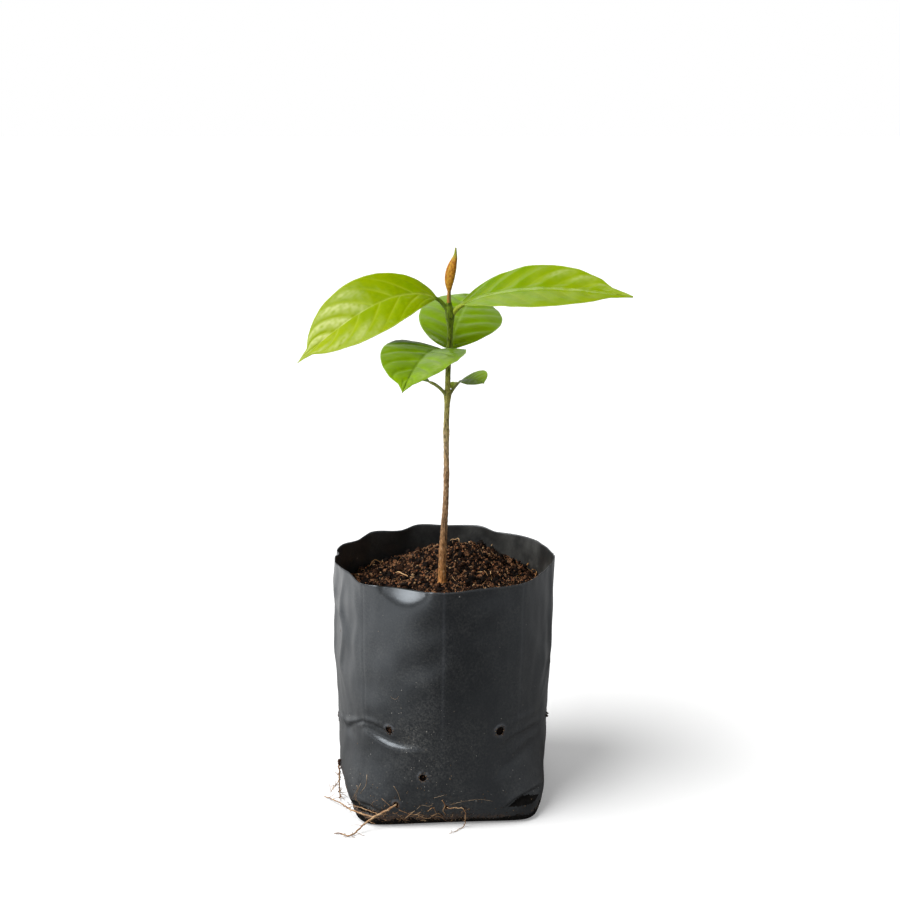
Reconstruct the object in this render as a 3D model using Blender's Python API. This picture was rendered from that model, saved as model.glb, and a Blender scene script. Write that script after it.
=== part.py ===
"""A young sapling in a black polythene nursery bag, with roots that grow out of its drain holes.

The bag stands with the middle of its flat underside at the origin, +Z up. Angles are in degrees round
the bag's axis, counted from +X, so the front of the bag is at -90. Lengths below are in millimetres.
"""

import math

import bpy
import numpy as np

MM = 0.001
CLEAR = 0.3  # gap between neighbouring pieces

# The bag: a gusseted film tube, sold by its width when flat, that opens to a round mouth
LAY_FLAT = 152.0
MOUTH_RADIUS = LAY_FLAT / math.pi
MOUTH_HEIGHT = 108.0
FILM = 0.8
BASE_TUCK = 9.8  # how far the walls draw in to the square base
BASE_TUCK_HEIGHT = 8.0
BASE_SQUARENESS = 6.0
SQUARENESS_HEIGHT = 9.0
WAIST_DEPTH = 1.2
WAIST_HEIGHT = 40.0
WAIST_SPREAD = 35.0
LEAN = ((0, 0.0), (15, -1.3), (60, -0.9), (108, -0.3))  # height, shift of the axis along X
FOLD_TURN = 1.0  # the pressed folds sit this much back from each eighth of a turn
FOLD_RIDGE = 0.5
FOLD_WIDTH = 2.6
CORNER_FOLDS = (-135, -45, 45, 135)
GUSSET_FOLDS = (0, 180)
TUCKS = (-137, -43, 47, 133)  # where the film of each base corner folds under
TUCK_DEPTH = 2.4
TUCK_HEIGHT = 6.5
TUCK_HALF_HEIGHT = 2.8
TUCK_HALF_ANGLE = 10.0
RIM_WAVE = (  # angle, rise of the rim, flare of the rim
    (-176, 0.3, 0.0), (-165, 0.9, 0.3), (-148, 1.3, -0.2), (-135, -0.9, 0.6), (-115, 0.6, -0.3),
    (-92, -0.4, 0.3), (-70, 0.2, -0.2), (-46, -0.4, 0.5), (-28, 0.3, -0.4), (-8, 1.4, 0.2),
    (14, 0.0, -0.5), (34, -0.3, 0.3), (58, -0.8, -0.9), (70, 0.7, 0.5), (88, 0.1, 0.0),
    (104, 0.8, 0.6), (116, -0.8, -0.9), (133, 0.6, 0.7), (146, -0.7, -0.6), (162, 0.5, 0.4),
)
RIM_WAVE_DEPTH = 15.0  # the waves fade out this far below the rim
HOLE_RADIUS = 2.0
HOLES = (  # angle, height
    (-119, 43.8), (-59, 43.4), (-100, 24.4), (-156, 80.9), (-178, 34.3), (-10, 36.8), (-163, 15.3),
    (-114, 11.5), (-88, 10.2), (61, 43.6), (121, 43.6), (80, 24.4), (24, 80.9),
)
COLUMNS = 48
WALL_HEIGHTS = (1.5, 4, 6.5, 9.5, 14, 21, 32, 50, 70, 92, 98, 103)

# The root ball: moist coir and loam that fills the bag and mounds up behind the stem
SOIL_EDGE_HEIGHT = 92.0
SOIL_CORNER_ROOM = 0.7
SOIL_DOME = 3.4
MOUND_HEIGHT = 10.0
MOUND_AT = (5.0, 33.0)
MOUND_SPREAD = (17.0, 12.0)
CLOD_HEIGHT = 0.5
SOIL_RINGS = 8

# The stem, from its foot on the soil to the node under the bud
STEM_ROUTE = (  # height, place along X
    (95.3, -1.4), (110, -1.05), (121, -0.4), (133, 0.3), (145, 0.62), (165, 0.56), (180, 1.1),
    (191, 1.35), (200, 1.9), (211, 2.25), (219.3, 1.75),
)
STEM_TIP_RADIUS = 1.0
STEM_FOOT_SWELL = 0.52
STEM_FOOT_HEIGHT = 124.0
STEM_FOOT_SPREAD = 6.0
ROOT_FLARE = 0.3
ROOT_FLARE_SPREAD = 3.0
KNOTS = (  # height, swelling, half its length
    (145, 0.12, 2.0), (164, 0.1, 3.5), (180, 0.42, 2.2), (199.5, 0.22, 2.2), (215, 0.6, 2.6),
)
STEM_SIDES = 10
STEM_STEPS = 32

LEAF_THICKNESS = 0.8
SMALL_LEAF_THICKNESS = 0.5
LIMB_SIDES = 8


# -- scene, materials and meshes ------------------------------------------------------------------


def clear_scene():
    for thing in list(bpy.data.objects):
        bpy.data.objects.remove(thing, do_unlink=True)


def linear(level):
    """One sRGB channel, 0 to 255, as a linear value."""
    share = level / 255
    return share / 12.92 if share <= 0.04045 else ((share + 0.055) / 1.055) ** 2.4


def material(name, red, green, blue, roughness):
    made = bpy.data.materials.new(name)
    made.use_nodes = True
    shader = made.node_tree.nodes["Principled BSDF"]
    shader.inputs["Base Color"].default_value = (linear(red), linear(green), linear(blue), 1)
    shader.inputs["Roughness"].default_value = roughness
    shader.inputs["Metallic"].default_value = 0
    return made


def add_piece(name, points, faces, finish, sharp_over=40):
    """A mesh object from points in mm."""
    mesh = bpy.data.meshes.new(name)
    mesh.from_pydata((np.asarray(points, float) * MM).tolist(), [], faces)
    mesh.shade_smooth()
    mesh.set_sharp_from_angle(angle=math.radians(sharp_over))
    mesh.materials.append(finish)
    piece = bpy.data.objects.new(name, mesh)
    bpy.context.scene.collection.objects.link(piece)
    return piece


def loft(rings):
    """Points and faces of a closed body through rings of equal length, with both ends capped."""
    rings = np.asarray(rings, float)
    count, around = rings.shape[:2]
    index = np.arange(count * around).reshape(count, around)
    faces = []
    for row in range(count - 1):
        for column in range(around):
            after = (column + 1) % around
            faces.append((index[row, column], index[row, after], index[row + 1, after], index[row + 1, column]))
    faces.append(tuple(index[0, ::-1]))
    faces.append(tuple(index[-1]))
    return rings.reshape(-1, 3), [tuple(int(corner) for corner in face) for face in faces]


def smooth_route(stations, count):
    """count points evenly spread along a Catmull-Rom curve through the stations."""
    knots = np.asarray(stations, float)
    padded = np.vstack([2 * knots[0] - knots[1], knots, 2 * knots[-1] - knots[-2]])
    place = np.linspace(0, len(knots) - 1, 40 * len(knots))
    span = np.minimum(place.astype(int), len(knots) - 2)
    t = (place - span)[:, None]
    before, start, end, after = (padded[span + step] for step in range(4))
    dense = 0.5 * (
        2 * start
        + (end - before) * t
        + (2 * before - 5 * start + 4 * end - after) * t**2
        + (3 * start - before - 3 * end + after) * t**3
    )
    run = np.append(0, np.cumsum(np.linalg.norm(np.diff(dense, axis=0), axis=1)))
    even = np.linspace(0, run[-1], count)
    return np.stack([np.interp(even, run, dense[:, axis]) for axis in range(dense.shape[1])], axis=1)


def tube_rings(route, radii, sides, first_side=(0.0, 1.0, 0.0)):
    """Rings of the given radii, square to the route, carried along it without twisting."""
    route = np.asarray(route, float)
    along = np.gradient(route, axis=0)
    along /= np.linalg.norm(along, axis=1)[:, None]
    turn = np.linspace(0, 2 * math.pi, sides, endpoint=False)[:, None]
    side = np.asarray(first_side)
    rings = []
    for centre, way, radius in zip(route, along, radii):
        side = side - way * np.dot(side, way)
        side = side / np.linalg.norm(side)
        up = np.cross(way, side)
        rings.append(centre + radius * (np.cos(turn) * side + np.sin(turn) * up))
    return np.array(rings)


def boolean(piece, other, operation):
    """Cuts or joins with other, applies it, and removes other."""
    step = piece.modifiers.new(operation.lower(), "BOOLEAN")
    step.operation = operation
    step.solver = "EXACT"
    step.object = other
    graph = bpy.context.evaluated_depsgraph_get()
    mesh = bpy.data.meshes.new_from_object(piece.evaluated_get(graph))
    piece.modifiers.clear()
    piece.data = mesh
    bpy.data.objects.remove(other, do_unlink=True)


# -- the bag ----------------------------------------------------------------------------------------


def wrapped(degrees):
    """An angle brought to between -180 and 180."""
    return (np.asarray(degrees, float) + 180) % 360 - 180


def rim_wave(angle, column):
    """The rim's rise (column 1) or flare (column 2), eased from each station to the next."""
    table = np.array(RIM_WAVE)
    table = np.vstack([table[-1] - (360, 0, 0), table, table[0] + (360, 0, 0)])
    place = np.interp(wrapped(angle), table[:, 0], np.arange(len(table)))
    low = np.minimum(place.astype(int), len(table) - 2)
    ease = (1 - np.cos(math.pi * (place - low))) / 2
    return table[low, column] * (1 - ease) + table[low + 1, column] * ease


def bag_radius(angle, height):
    """From the bag's axis to the outside of its film: a circle that turns into a rounded square."""
    angle, height = np.broadcast_arrays(np.asarray(angle, float), np.asarray(height, float))
    half_width = (
        MOUTH_RADIUS
        - BASE_TUCK * np.exp(-((np.maximum(height, 0) / BASE_TUCK_HEIGHT) ** 1.2))
        - WAIST_DEPTH * np.exp(-(((height - WAIST_HEIGHT) / WAIST_SPREAD) ** 2))
    )
    power = 2 + BASE_SQUARENESS * np.exp(-height / SQUARENESS_HEIGHT)
    turn = np.radians(angle + FOLD_TURN)
    radius = half_width / (np.abs(np.cos(turn)) ** power + np.abs(np.sin(turn)) ** power) ** (1 / power)
    stands = np.clip((height - 20) / 30, 0, 1)
    for fold in CORNER_FOLDS + GUSSET_FOLDS:
        ridge = np.exp(-np.abs(wrapped(angle + FOLD_TURN - fold)) / FOLD_WIDTH)
        radius = radius + (FOLD_RIDGE if fold in CORNER_FOLDS else -FOLD_RIDGE) * ridge * stands
    for tuck in TUCKS:
        across = wrapped(angle - tuck) / TUCK_HALF_ANGLE
        up = (height - TUCK_HEIGHT) / TUCK_HALF_HEIGHT
        radius = radius - TUCK_DEPTH * np.exp(-(across**2) - up**2)
    near_rim = np.clip(1 - (MOUTH_HEIGHT - height) / RIM_WAVE_DEPTH, 0, 1) ** 2
    return radius + rim_wave(angle, 2) * near_rim


def bag_ring(height, inset, angles):
    """Points of the bag's section at a height, drawn in by inset."""
    radius = bag_radius(angles, height) - inset
    lifted = height + rim_wave(angles, 1) * (height / MOUTH_HEIGHT) ** 8
    shift = np.interp(height, *np.transpose(LEAN))
    turn = np.radians(angles)
    return np.stack([radius * np.cos(turn) + shift, radius * np.sin(turn), lifted + 0 * turn], axis=1)


def film_point(angle, height, standoff):
    """A point that stands off the outside of the film by standoff."""
    return bag_ring(height, -standoff, np.array([float(angle)]))[0]


def make_bag(finish):
    angles = np.linspace(-180, 180, COLUMNS, endpoint=False)
    rings = [bag_ring(height, 0, angles) for height in (0, *WALL_HEIGHTS, MOUTH_HEIGHT)]
    rings += [bag_ring(height, FILM, angles) for height in (MOUTH_HEIGHT, *WALL_HEIGHTS[::-1], FILM)]
    bag = add_piece("bag", *loft(rings), finish)
    for angle, height in HOLES:
        ends = [film_point(angle, height, -4), film_point(angle, height, 4)]
        drill = add_piece("hole_cutter", *loft(tube_rings(ends, (HOLE_RADIUS,) * 2, 14, (0, 0, 1))), finish)
        boolean(bag, drill, "DIFFERENCE")
    return bag


# -- the root ball ------------------------------------------------------------------------------------


def soil_height(x, y):
    """The soil's top: a shallow dome and a mound behind the stem, with low clods."""
    dome = SOIL_DOME * (1 - (x**2 + y**2) / MOUTH_RADIUS**2)
    across = (x - MOUND_AT[0]) / MOUND_SPREAD[0]
    along = (y - MOUND_AT[1]) / MOUND_SPREAD[1]
    mound = MOUND_HEIGHT * np.exp(-(across**2 + along**2) / 2)
    clods = CLOD_HEIGHT * (np.sin(0.55 * x + 1.3) * np.sin(0.62 * y) + np.sin(0.31 * x - 0.43 * y))
    return SOIL_EDGE_HEIGHT + dome + mound + clods


def soil_inset(height):
    """From the outside of the film to the soil, with more room in the sharp corners of the base."""
    return FILM + 1.5 * CLEAR + SOIL_CORNER_ROOM * np.exp(-height / SQUARENESS_HEIGHT)


def make_root_ball(finish):
    angles = np.linspace(-180, 180, COLUMNS, endpoint=False)
    floor = FILM + CLEAR
    heights = [floor, *(height for height in WALL_HEIGHTS if floor < height < SOIL_EDGE_HEIGHT)]
    rings = [bag_ring(height, soil_inset(height), angles) for height in heights]
    edge = bag_ring(SOIL_EDGE_HEIGHT, soil_inset(SOIL_EDGE_HEIGHT), angles)
    edge = bag_ring(soil_height(edge[:, 0], edge[:, 1]), soil_inset(SOIL_EDGE_HEIGHT), angles)
    foot_height, foot_x = STEM_ROUTE[0]
    seat_radius = 2.8
    seat = np.stack(
        [
            foot_x + seat_radius * np.cos(np.radians(angles)),
            seat_radius * np.sin(np.radians(angles)),
            np.full(COLUMNS, foot_height - CLEAR),
        ],
        axis=1,
    )
    for step in np.linspace(0, 1, SOIL_RINGS, endpoint=False):
        ring = edge * (1 - step) + seat * step
        ring[:, 2] = soil_height(ring[:, 0], ring[:, 1])
        rings.append(ring)
    rings.append(seat)
    return add_piece("root_ball", *loft(rings), finish)


# -- stem and limbs -----------------------------------------------------------------------------------


def stem_point(height):
    """The stem's centre at a height."""
    route = smooth_route(STEM_ROUTE, 200)
    return np.array([np.interp(height, route[:, 0], route[:, 1]), 0.0, height])


def stem_radius(height):
    radius = STEM_TIP_RADIUS + STEM_FOOT_SWELL / (1 + np.exp((height - STEM_FOOT_HEIGHT) / STEM_FOOT_SPREAD))
    radius = radius + ROOT_FLARE * np.exp(-(height - STEM_ROUTE[0][0]) / ROOT_FLARE_SPREAD)
    for knot, swelling, half_length in KNOTS:
        radius = radius + swelling * np.exp(-(((height - knot) / half_length) ** 2))
    return radius


def stem_body(name, finish, grown=0.0):
    heights = np.linspace(STEM_ROUTE[0][0], STEM_ROUTE[-1][0], STEM_STEPS)
    route = [stem_point(height) for height in heights]
    turn = np.linspace(0, 2 * math.pi, STEM_SIDES, endpoint=False)
    circle = np.stack([np.cos(turn), np.sin(turn), 0 * turn], axis=1)
    rings = [centre + (stem_radius(centre[2]) + grown) * circle for centre in route]
    return add_piece(name, *loft(rings), finish)


def heading_vector(heading, rise):
    """The unit vector that points along a heading, raised by rise."""
    flat = math.cos(math.radians(rise))
    turn = math.radians(heading)
    return np.array([flat * math.cos(turn), flat * math.sin(turn), math.sin(math.radians(rise))])


def make_petiole(leaf, finish):
    """One tapering limb from inside the stem to the leaf's base, then cut clear of the stem."""
    arrival = heading_vector(leaf["heading"], leaf["rise"])
    tip = leaf["base"] - CLEAR / 2 * arrival
    start = stem_point(leaf["node_height"])
    reach = np.linalg.norm(tip - start)
    t = np.linspace(0, 1, 9)[:, None]
    bend = tip - arrival * reach * leaf["petiole_bend"]
    route = start * (1 - t) ** 2 + 2 * bend * t * (1 - t) + tip * t**2
    radii = np.linspace(leaf["petiole_foot"], leaf["petiole_tip"], len(route))
    name = leaf["name"].replace("leaf", "petiole")
    petiole = add_piece(name, *loft(tube_rings(route, radii, LIMB_SIDES)), finish)
    boolean(petiole, stem_body("stem_clearance", finish, grown=CLEAR), "DIFFERENCE")
    return petiole


# -- leaves -------------------------------------------------------------------------------------------


def leaf_outline(along, leaf):
    """Half-width, 0 to 1, along the midrib: a rounded blade that runs out into a narrow drip tip."""
    swell, taper, drip = leaf["swell"], leaf["taper"], leaf["drip_length"]
    widest = swell / (swell + taper)
    place = np.clip(along / (1 - 0.6 * drip), 0, 1)
    blade = (place / widest) ** swell * ((1 - place) / (1 - widest)) ** taper
    tail = leaf["drip_width"] * np.clip((1 - along) / drip, 0, 1) * np.clip(3 * along, 0, 1)
    return (blade**3 + tail**3) ** (1 / 3)


def leaf_surface(leaf, steps, half_steps):
    """The leaf's middle surface as a grid of points, from base to tip and from one margin to the other.

    The midrib starts along the heading and bends down by droop, mostly within the ease share of its
    length. Each half rises from the midrib by the fold angle and arches back over by the arch angle.
    """
    along = np.linspace(0, 1, steps)
    eased = (1 - np.exp(-along / leaf["ease"])) / (1 - math.exp(-1 / leaf["ease"]))
    rise = np.radians(leaf["rise"] - leaf["droop"] * eased)
    turn = np.radians(leaf["heading"] + leaf["sweep"] * along)
    way = np.stack([np.cos(rise) * np.cos(turn), np.cos(rise) * np.sin(turn), np.sin(rise)], axis=1)
    steps_taken = (way[1:] + way[:-1]) / 2 * leaf["length"] / (steps - 1)
    midrib = leaf["base"] + CLEAR / 2 * way[0] + np.vstack([np.zeros(3), np.cumsum(steps_taken, axis=0)])
    level = np.stack([-np.sin(turn), np.cos(turn), 0 * turn], axis=1)
    above = np.cross(way, level)
    roll = np.radians(leaf["roll"] + leaf["twist"] * along)[:, None]
    side = level * np.cos(roll) + above * np.sin(roll)
    above = above * np.cos(roll) - level * np.sin(roll)
    least = leaf["base_half_width"] + (leaf["tip_half_width"] - leaf["base_half_width"]) * along
    width = np.maximum(leaf["half_width"] * leaf_outline(along, leaf), least)
    across = np.linspace(-1, 1, 2 * half_steps + 1)
    tilt = np.radians(leaf["fold"] - leaf["arch"] * np.abs(across) / 2)
    out = across * np.cos(tilt)
    up = np.abs(across) * np.sin(tilt)
    return (
        midrib[:, None]
        + (width[:, None] * out)[:, :, None] * side[:, None]
        + (width[:, None] * up)[:, :, None] * above[:, None]
    )


def make_leaf(leaf, finish):
    points = leaf_surface(leaf, leaf["steps"], leaf["half_steps"])
    rows, columns = points.shape[:2]
    index = np.arange(rows * columns).reshape(rows, columns)
    corners = (index[:-1, :-1], index[1:, :-1], index[1:, 1:], index[:-1, 1:])
    faces = np.stack(corners, axis=-1).reshape(-1, 4).tolist()
    blade = add_piece(leaf["name"], points.reshape(-1, 3), faces, finish)
    skin = blade.modifiers.new("thickness", "SOLIDIFY")
    skin.thickness = leaf["thickness"] * MM
    skin.offset = 0
    return blade


def leaf(name, base, heading, rise, length, half_width, **shape):
    """A leaf's sizes, with the usual ones filled in."""
    sizes = {
        "name": name, "base": np.array(base, float), "heading": heading, "rise": rise,
        "length": length, "half_width": half_width,
        "sweep": 0.0, "droop": 30.0, "ease": 0.45, "roll": 0.0, "twist": 0.0,
        "fold": 15.0, "arch": 12.0, "swell": 0.8, "taper": 0.8,
        "drip_length": 0.16, "drip_width": 0.1, "base_half_width": 0.75, "tip_half_width": 0.3,
        "thickness": LEAF_THICKNESS, "steps": 18, "half_steps": 3,
        "node_height": None, "petiole_foot": 1.0, "petiole_tip": 0.75, "petiole_bend": 0.5,
    }
    sizes.update(shape)
    return sizes


SMALL = {
    "thickness": SMALL_LEAF_THICKNESS, "steps": 12, "half_steps": 2, "base_half_width": 0.45,
    "drip_length": 0.08, "petiole_foot": 0.75, "petiole_tip": 0.45,
}

LEAVES = (
    leaf("leaf_upper_left", (-3.4, 0.2, 221.5), -160, 26, 68.5, 15.5, droop=66, ease=0.34, roll=-33.5,
         twist=-3, fold=11, swell=0.79, node_height=214.5, petiole_bend=0.35),
    leaf("leaf_upper_right", (6.9, 0.0, 218.5), -8.5, 26, 73.5, 15.7, sweep=-10.5, droop=32, ease=0.44,
         roll=23.5, twist=3, fold=12.5, arch=11, swell=0.84, taper=0.76, node_height=214.0,
         petiole_bend=0.35),
    leaf("leaf_middle_front", (-0.9, -4.4, 199.8), -109, 16.5, 62.0, 16.2, sweep=9, droop=33, ease=0.42,
         roll=-6, twist=5, fold=16.5, arch=13.5, swell=0.64, taper=0.75, drip_width=0.2,
         node_height=198.8),
    leaf("leaf_middle_back", (2.0, 3.6, 199.0), 79, 34, 64.5, 17.9, sweep=-1, droop=31, ease=0.66,
         roll=3, twist=12, fold=4.5, arch=17.5, swell=0.74, node_height=197.8),
    leaf("leaf_lower_left", (-5.6, 0.1, 185.4), 138, 8, 18.0, 5.4, sweep=5, droop=24, roll=-10,
         node_height=179.3, petiole_bend=0.55, **SMALL),
    leaf("leaf_lower_right", (6.5, 0.0, 186.0), -57.5, 27, 20.0, 5.7, sweep=-5, droop=31, ease=0.54,
         roll=19, twist=8, fold=19, arch=11, swell=0.9, taper=0.56, node_height=179.3,
         petiole_bend=0.35, **SMALL),
)


def make_axil_leaf(finish):
    """The tiny leaf of the side shoot that starts in the axil of the lower right petiole."""
    sizes = leaf("leaf_lower_axil", (3.4, 2.4, 181.6), 80, 78, 5.8, 1.9, droop=75, ease=0.6, fold=10,
                 swell=0.75, taper=0.4, **SMALL)
    sizes["base_half_width"] = 0.35
    blade = make_leaf(sizes, finish)
    foot = np.array([2.3, 1.7, 179.8])
    top = sizes["base"] - CLEAR / 2 * heading_vector(80, 78)
    shoot = add_piece("shoot_lower_axil", *loft(tube_rings([foot, (foot + top) / 2, top], (0.4, 0.38, 0.32), 6)),
                      finish)
    boolean(shoot, stem_body("stem_clearance", finish, grown=CLEAR), "DIFFERENCE")
    return blade, shoot


# -- the bud ------------------------------------------------------------------------------------------

BUD_STALK_TOP = 224.2
BUD_ROUTE = ((224.5, 1.8), (228, 1.8), (232, 2.3), (236, 3.2), (239.5, 4.3), (243, 4.6))  # height, X
BUD_WIDTHS = ((224.5, 0.55), (227, 1.35), (230, 2.05), (234, 2.0), (237.5, 1.2), (240.3, 0.5), (243, 0.2))
BUD_FACING = -125.0  # heading of the front one of the two folded leaves
BUD_DEPTH = 0.62  # thickness of each folded leaf over its half-width


def make_bud_stalk(finish):
    foot = stem_point(STEM_ROUTE[-1][0]) + (0, 0, CLEAR)
    route = [foot, (1.7, 0, 222), (BUD_ROUTE[0][1], 0, BUD_STALK_TOP)]
    return add_piece("bud_stalk", *loft(tube_rings(route, (0.85, 0.62, 0.55), LIMB_SIDES)), finish)


def make_bud_leaf(name, facing, finish):
    """One of two young leaves pressed face to face: half a spindle with a flat inner side."""
    heights = np.linspace(BUD_ROUTE[0][0], BUD_ROUTE[-1][0], 13)
    route = smooth_route(BUD_ROUTE, 100)
    outward = heading_vector(facing, 0)
    broad = np.array([outward[1], -outward[0], 0])
    swing = np.linspace(0, math.pi, 9)[:, None]
    rings = []
    for height in heights:
        centre = np.array([np.interp(height, route[:, 0], route[:, 1]), 0, height])
        width = np.interp(height, *np.transpose(BUD_WIDTHS))
        flat = centre + CLEAR / 2 * outward + width * np.cos(swing) * broad
        rings.append(flat + (width * BUD_DEPTH + 0.1) * np.sin(swing) * outward)
    return add_piece(name, *loft(rings), finish, sharp_over=60)


# -- roots that grow out of the drain holes ---------------------------------------------------------------


def root_rings(route, first_radius, last_radius, steps):
    """A root through stations of (angle, height, distance from the film), thinning to its end."""
    points = smooth_route([film_point(*station) for station in route], steps)
    radii = np.linspace(first_radius, last_radius, steps)
    return tube_rings(points, radii, LIMB_SIDES - 2, (0, 0, 1))


INSIDE = -FILM  # a root starts where the film's inner face is, just clear of the root ball
CORNER_ROOT = (
    (-114, 11.5, INSIDE), (-114.3, 11.3, 0.9), (-118.5, 8.8, 1.5), (-123.5, 5.9, 2.8), (-126.7, 2.6, 7.3),
    (-127.5, 0.9, 11.2), (-128, 0.8, 14.0), (-131.8, 0.7, 14.0), (-133.3, 0.6, 16.5),
)
CORNER_BRANCH = (
    (-123.5, 5.9, 2.8), (-131, 6.2, 2.6), (-141, 4.7, 3.2), (-149, 3.1, 5.4), (-157, 1.8, 10.2),
    (-164.7, 0.6, 15.8),
)
SIDE_ROOT = (
    (-163, 15.3, INSIDE), (-162.7, 15.0, 1.0), (-162, 12.3, 1.4), (-162, 8.4, 3.2), (-161.8, 3.8, 6.0),
    (-161, 0.7, 8.3),
)
FRONT_ROOT = (
    (-88, 10.2, INSIDE), (-87, 10.4, 0.8), (-82.7, 10.4, 0.9), (-79.6, 10.0, 1.0), (-78.3, 7.7, 1.2),
    (-78.3, 3.3, 2.5), (-79.2, 0.7, 3.8), (-84.2, 0.5, 8.2), (-87.8, 0.5, 10.0),
)


def make_roots(finish):
    corner = add_piece("root_corner", *loft(root_rings(CORNER_ROOT, 0.75, 0.35, 26)), finish)
    branch = add_piece("branch", *loft(root_rings(CORNER_BRANCH, 0.6, 0.35, 16)), finish)
    boolean(corner, branch, "UNION")
    add_piece("root_side", *loft(root_rings(SIDE_ROOT, 0.55, 0.4, 14)), finish)
    add_piece("root_front", *loft(root_rings(FRONT_ROOT, 0.45, 0.3, 18)), finish)


# -- the whole plant --------------------------------------------------------------------------------------

clear_scene()
make_bag(material("black_polythene", 52, 53, 56, 0.42))
make_root_ball(material("coir_and_loam", 62, 40, 28, 0.95))
make_roots(material("root_bark", 178, 122, 72, 0.7))
bark = material("green_bark", 104, 96, 50, 0.6)
stem_body("stem", bark)
fresh_leaf = material("fresh_leaf", 132, 168, 24, 0.4)
old_leaf = material("old_leaf", 92, 138, 30, 0.4)
green_shoot = material("green_shoot", 96, 112, 34, 0.5)
for sizes in LEAVES:
    make_petiole(sizes, green_shoot)
    make_leaf(sizes, fresh_leaf if "upper" in sizes["name"] else old_leaf)
make_axil_leaf(old_leaf)
bronze_leaf = material("bronze_leaf", 186, 118, 44, 0.5)
make_bud_stalk(bronze_leaf)
make_bud_leaf("bud_leaf_front", BUD_FACING, bronze_leaf)
make_bud_leaf("bud_leaf_back", BUD_FACING + 180, green_shoot)
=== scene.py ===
"""The looks of a young sapling in a black polythene nursery bag, built round its CAD frame.

Lengths are in millimetres until a mesh is made. Angles are in degrees round the bag's axis from +X,
so the front of the bag is at -90. Pieces follow in the order in which a nursery puts them together.
"""

import math
from functools import partial

import bpy
import numpy as np
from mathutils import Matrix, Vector


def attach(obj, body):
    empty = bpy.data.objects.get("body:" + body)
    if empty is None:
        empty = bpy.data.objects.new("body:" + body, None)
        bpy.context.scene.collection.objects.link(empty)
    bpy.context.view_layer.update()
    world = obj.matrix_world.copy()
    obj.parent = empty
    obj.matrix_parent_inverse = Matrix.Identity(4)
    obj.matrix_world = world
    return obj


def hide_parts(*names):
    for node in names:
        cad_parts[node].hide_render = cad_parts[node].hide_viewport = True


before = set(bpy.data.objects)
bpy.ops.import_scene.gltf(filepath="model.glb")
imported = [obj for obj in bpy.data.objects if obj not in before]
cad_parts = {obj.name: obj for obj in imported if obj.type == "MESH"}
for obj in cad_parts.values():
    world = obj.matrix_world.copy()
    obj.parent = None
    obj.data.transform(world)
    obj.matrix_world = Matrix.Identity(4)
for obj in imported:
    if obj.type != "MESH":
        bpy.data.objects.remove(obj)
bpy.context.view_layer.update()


# -- the bag's film ---------------------------------------------------------------------------------
# A gusseted nursery bag: black low-density polythene tube, blown, pressed flat and heat-sealed across
# its foot. Filling opens it to a round mouth, and the pressed folds stay as faint upright lines.
# Drain holes are punched through the flat tube, so they come in matching rows on front and back.

MM = 0.001
MOUTH_RADIUS = 152 / math.pi  # a tube 152 mm wide when flat
MM_PER_DEGREE = math.radians(MOUTH_RADIUS)
MOUTH_HEIGHT = 108.0
FILM = 0.25
BASE_TUCK = 7.5
BASE_TUCK_HEIGHT = 10.5
BASE_SQUARENESS = 9.0
SQUARENESS_HEIGHT = 6.5
WAIST_DEPTH = 1.7
WAIST_HEIGHT = 30.0
WAIST_SPREAD = 28.0
LEAN = ((0, 0.0), (15, -1.3), (60, -0.9), (108, -0.3))  # height, shift of the axis along X
FOLD_TURN = 1.0
FOOT_TURN = 5.0  # the square foot is turned a little against the folds above
FOOT_TURN_HEIGHT = 14.0
PRESSED_FOLDS = (  # angle, ridge, how far the crease itself has whitened
    (-133, 0.5, 0.0), (-46, 0.5, 0.5), (45, 0.5, 0.2), (135, 0.5, 0.2), (0, -0.4, 0.2), (180, -0.4, 0.2),
    (-89, 0.15, 0.5), (91, 0.15, 0.3),
)
FOLD_WIDTH = 5.0
FOLD_START = 20  # the pressed folds fade in above this height, over
FOLD_FADE = 30
CREASE_GROOVE = 0.45  # depth of the groove, as a share of the ridge
GROOVE_WIDTH = 0.8
FOOT_CURL = 2.2
FOOT_CURL_HEIGHT = 3.0
TUCKS = ((-135, 0.8), (-43, 0.7), (47, 2.9), (133, 2.9))  # angle, depth
TUCK_HEIGHT = 6.5
TUCK_HALF_HEIGHT = 2.8
TUCK_HALF_ANGLE = 10.0
DENTS = (  # angle, height, half-angle, half-height, depth
    (-131, 48.5, 4, 2, 0.5), (-168, 44, 4, 3, 0.9), (-150, 37, 6, 3.5, 1), (-160, 102, 5, 6, 0.8),
    (-90, 92, 9, 8, 0.35), (-76, 96, 8, 9, 0.5), (-20, 100, 5, 9, 0.5), (-36, 30, 7, 5, 0.5),
    (-60, 29, 9, 4, 0.3), (-37, 2.5, 8, 6.5, 2.3),
)
POCKETS = (  # angle, top, half-angle, depth, fall: the film steps in under a ledge and comes out again below
    (-131, 9.6, 10, 2.2, 2.6), (44, 12, 8, 2.2, 3), (132, 11, 8, 2, 3),
)
LEDGE_CURVE = 2.2
LEDGE_EDGE = 0.28
RIM_WAVE = (  # angle, rise of the rim, flare of the rim
    (-176, 0.3, 0.0), (-165, 0.9, 0.3), (-148, 1.3, -0.2), (-135, -0.9, 0.6), (-115, 0.6, -0.3),
    (-92, -0.4, 0.3), (-70, 0.2, -0.2), (-46, -0.4, 0.5), (-28, 0.3, -0.4), (-8, 1.4, 0.2),
    (14, 0.0, -0.5), (34, -0.3, 0.3), (58, -0.8, -0.9), (70, 0.7, 0.5), (88, 0.1, 0.0),
    (104, 0.8, 0.6), (116, -0.8, -0.9), (133, 0.6, 0.7), (146, -0.7, -0.6), (162, 0.5, 0.4),
)
RIM_WAVE_DEPTH = 15.0
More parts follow.
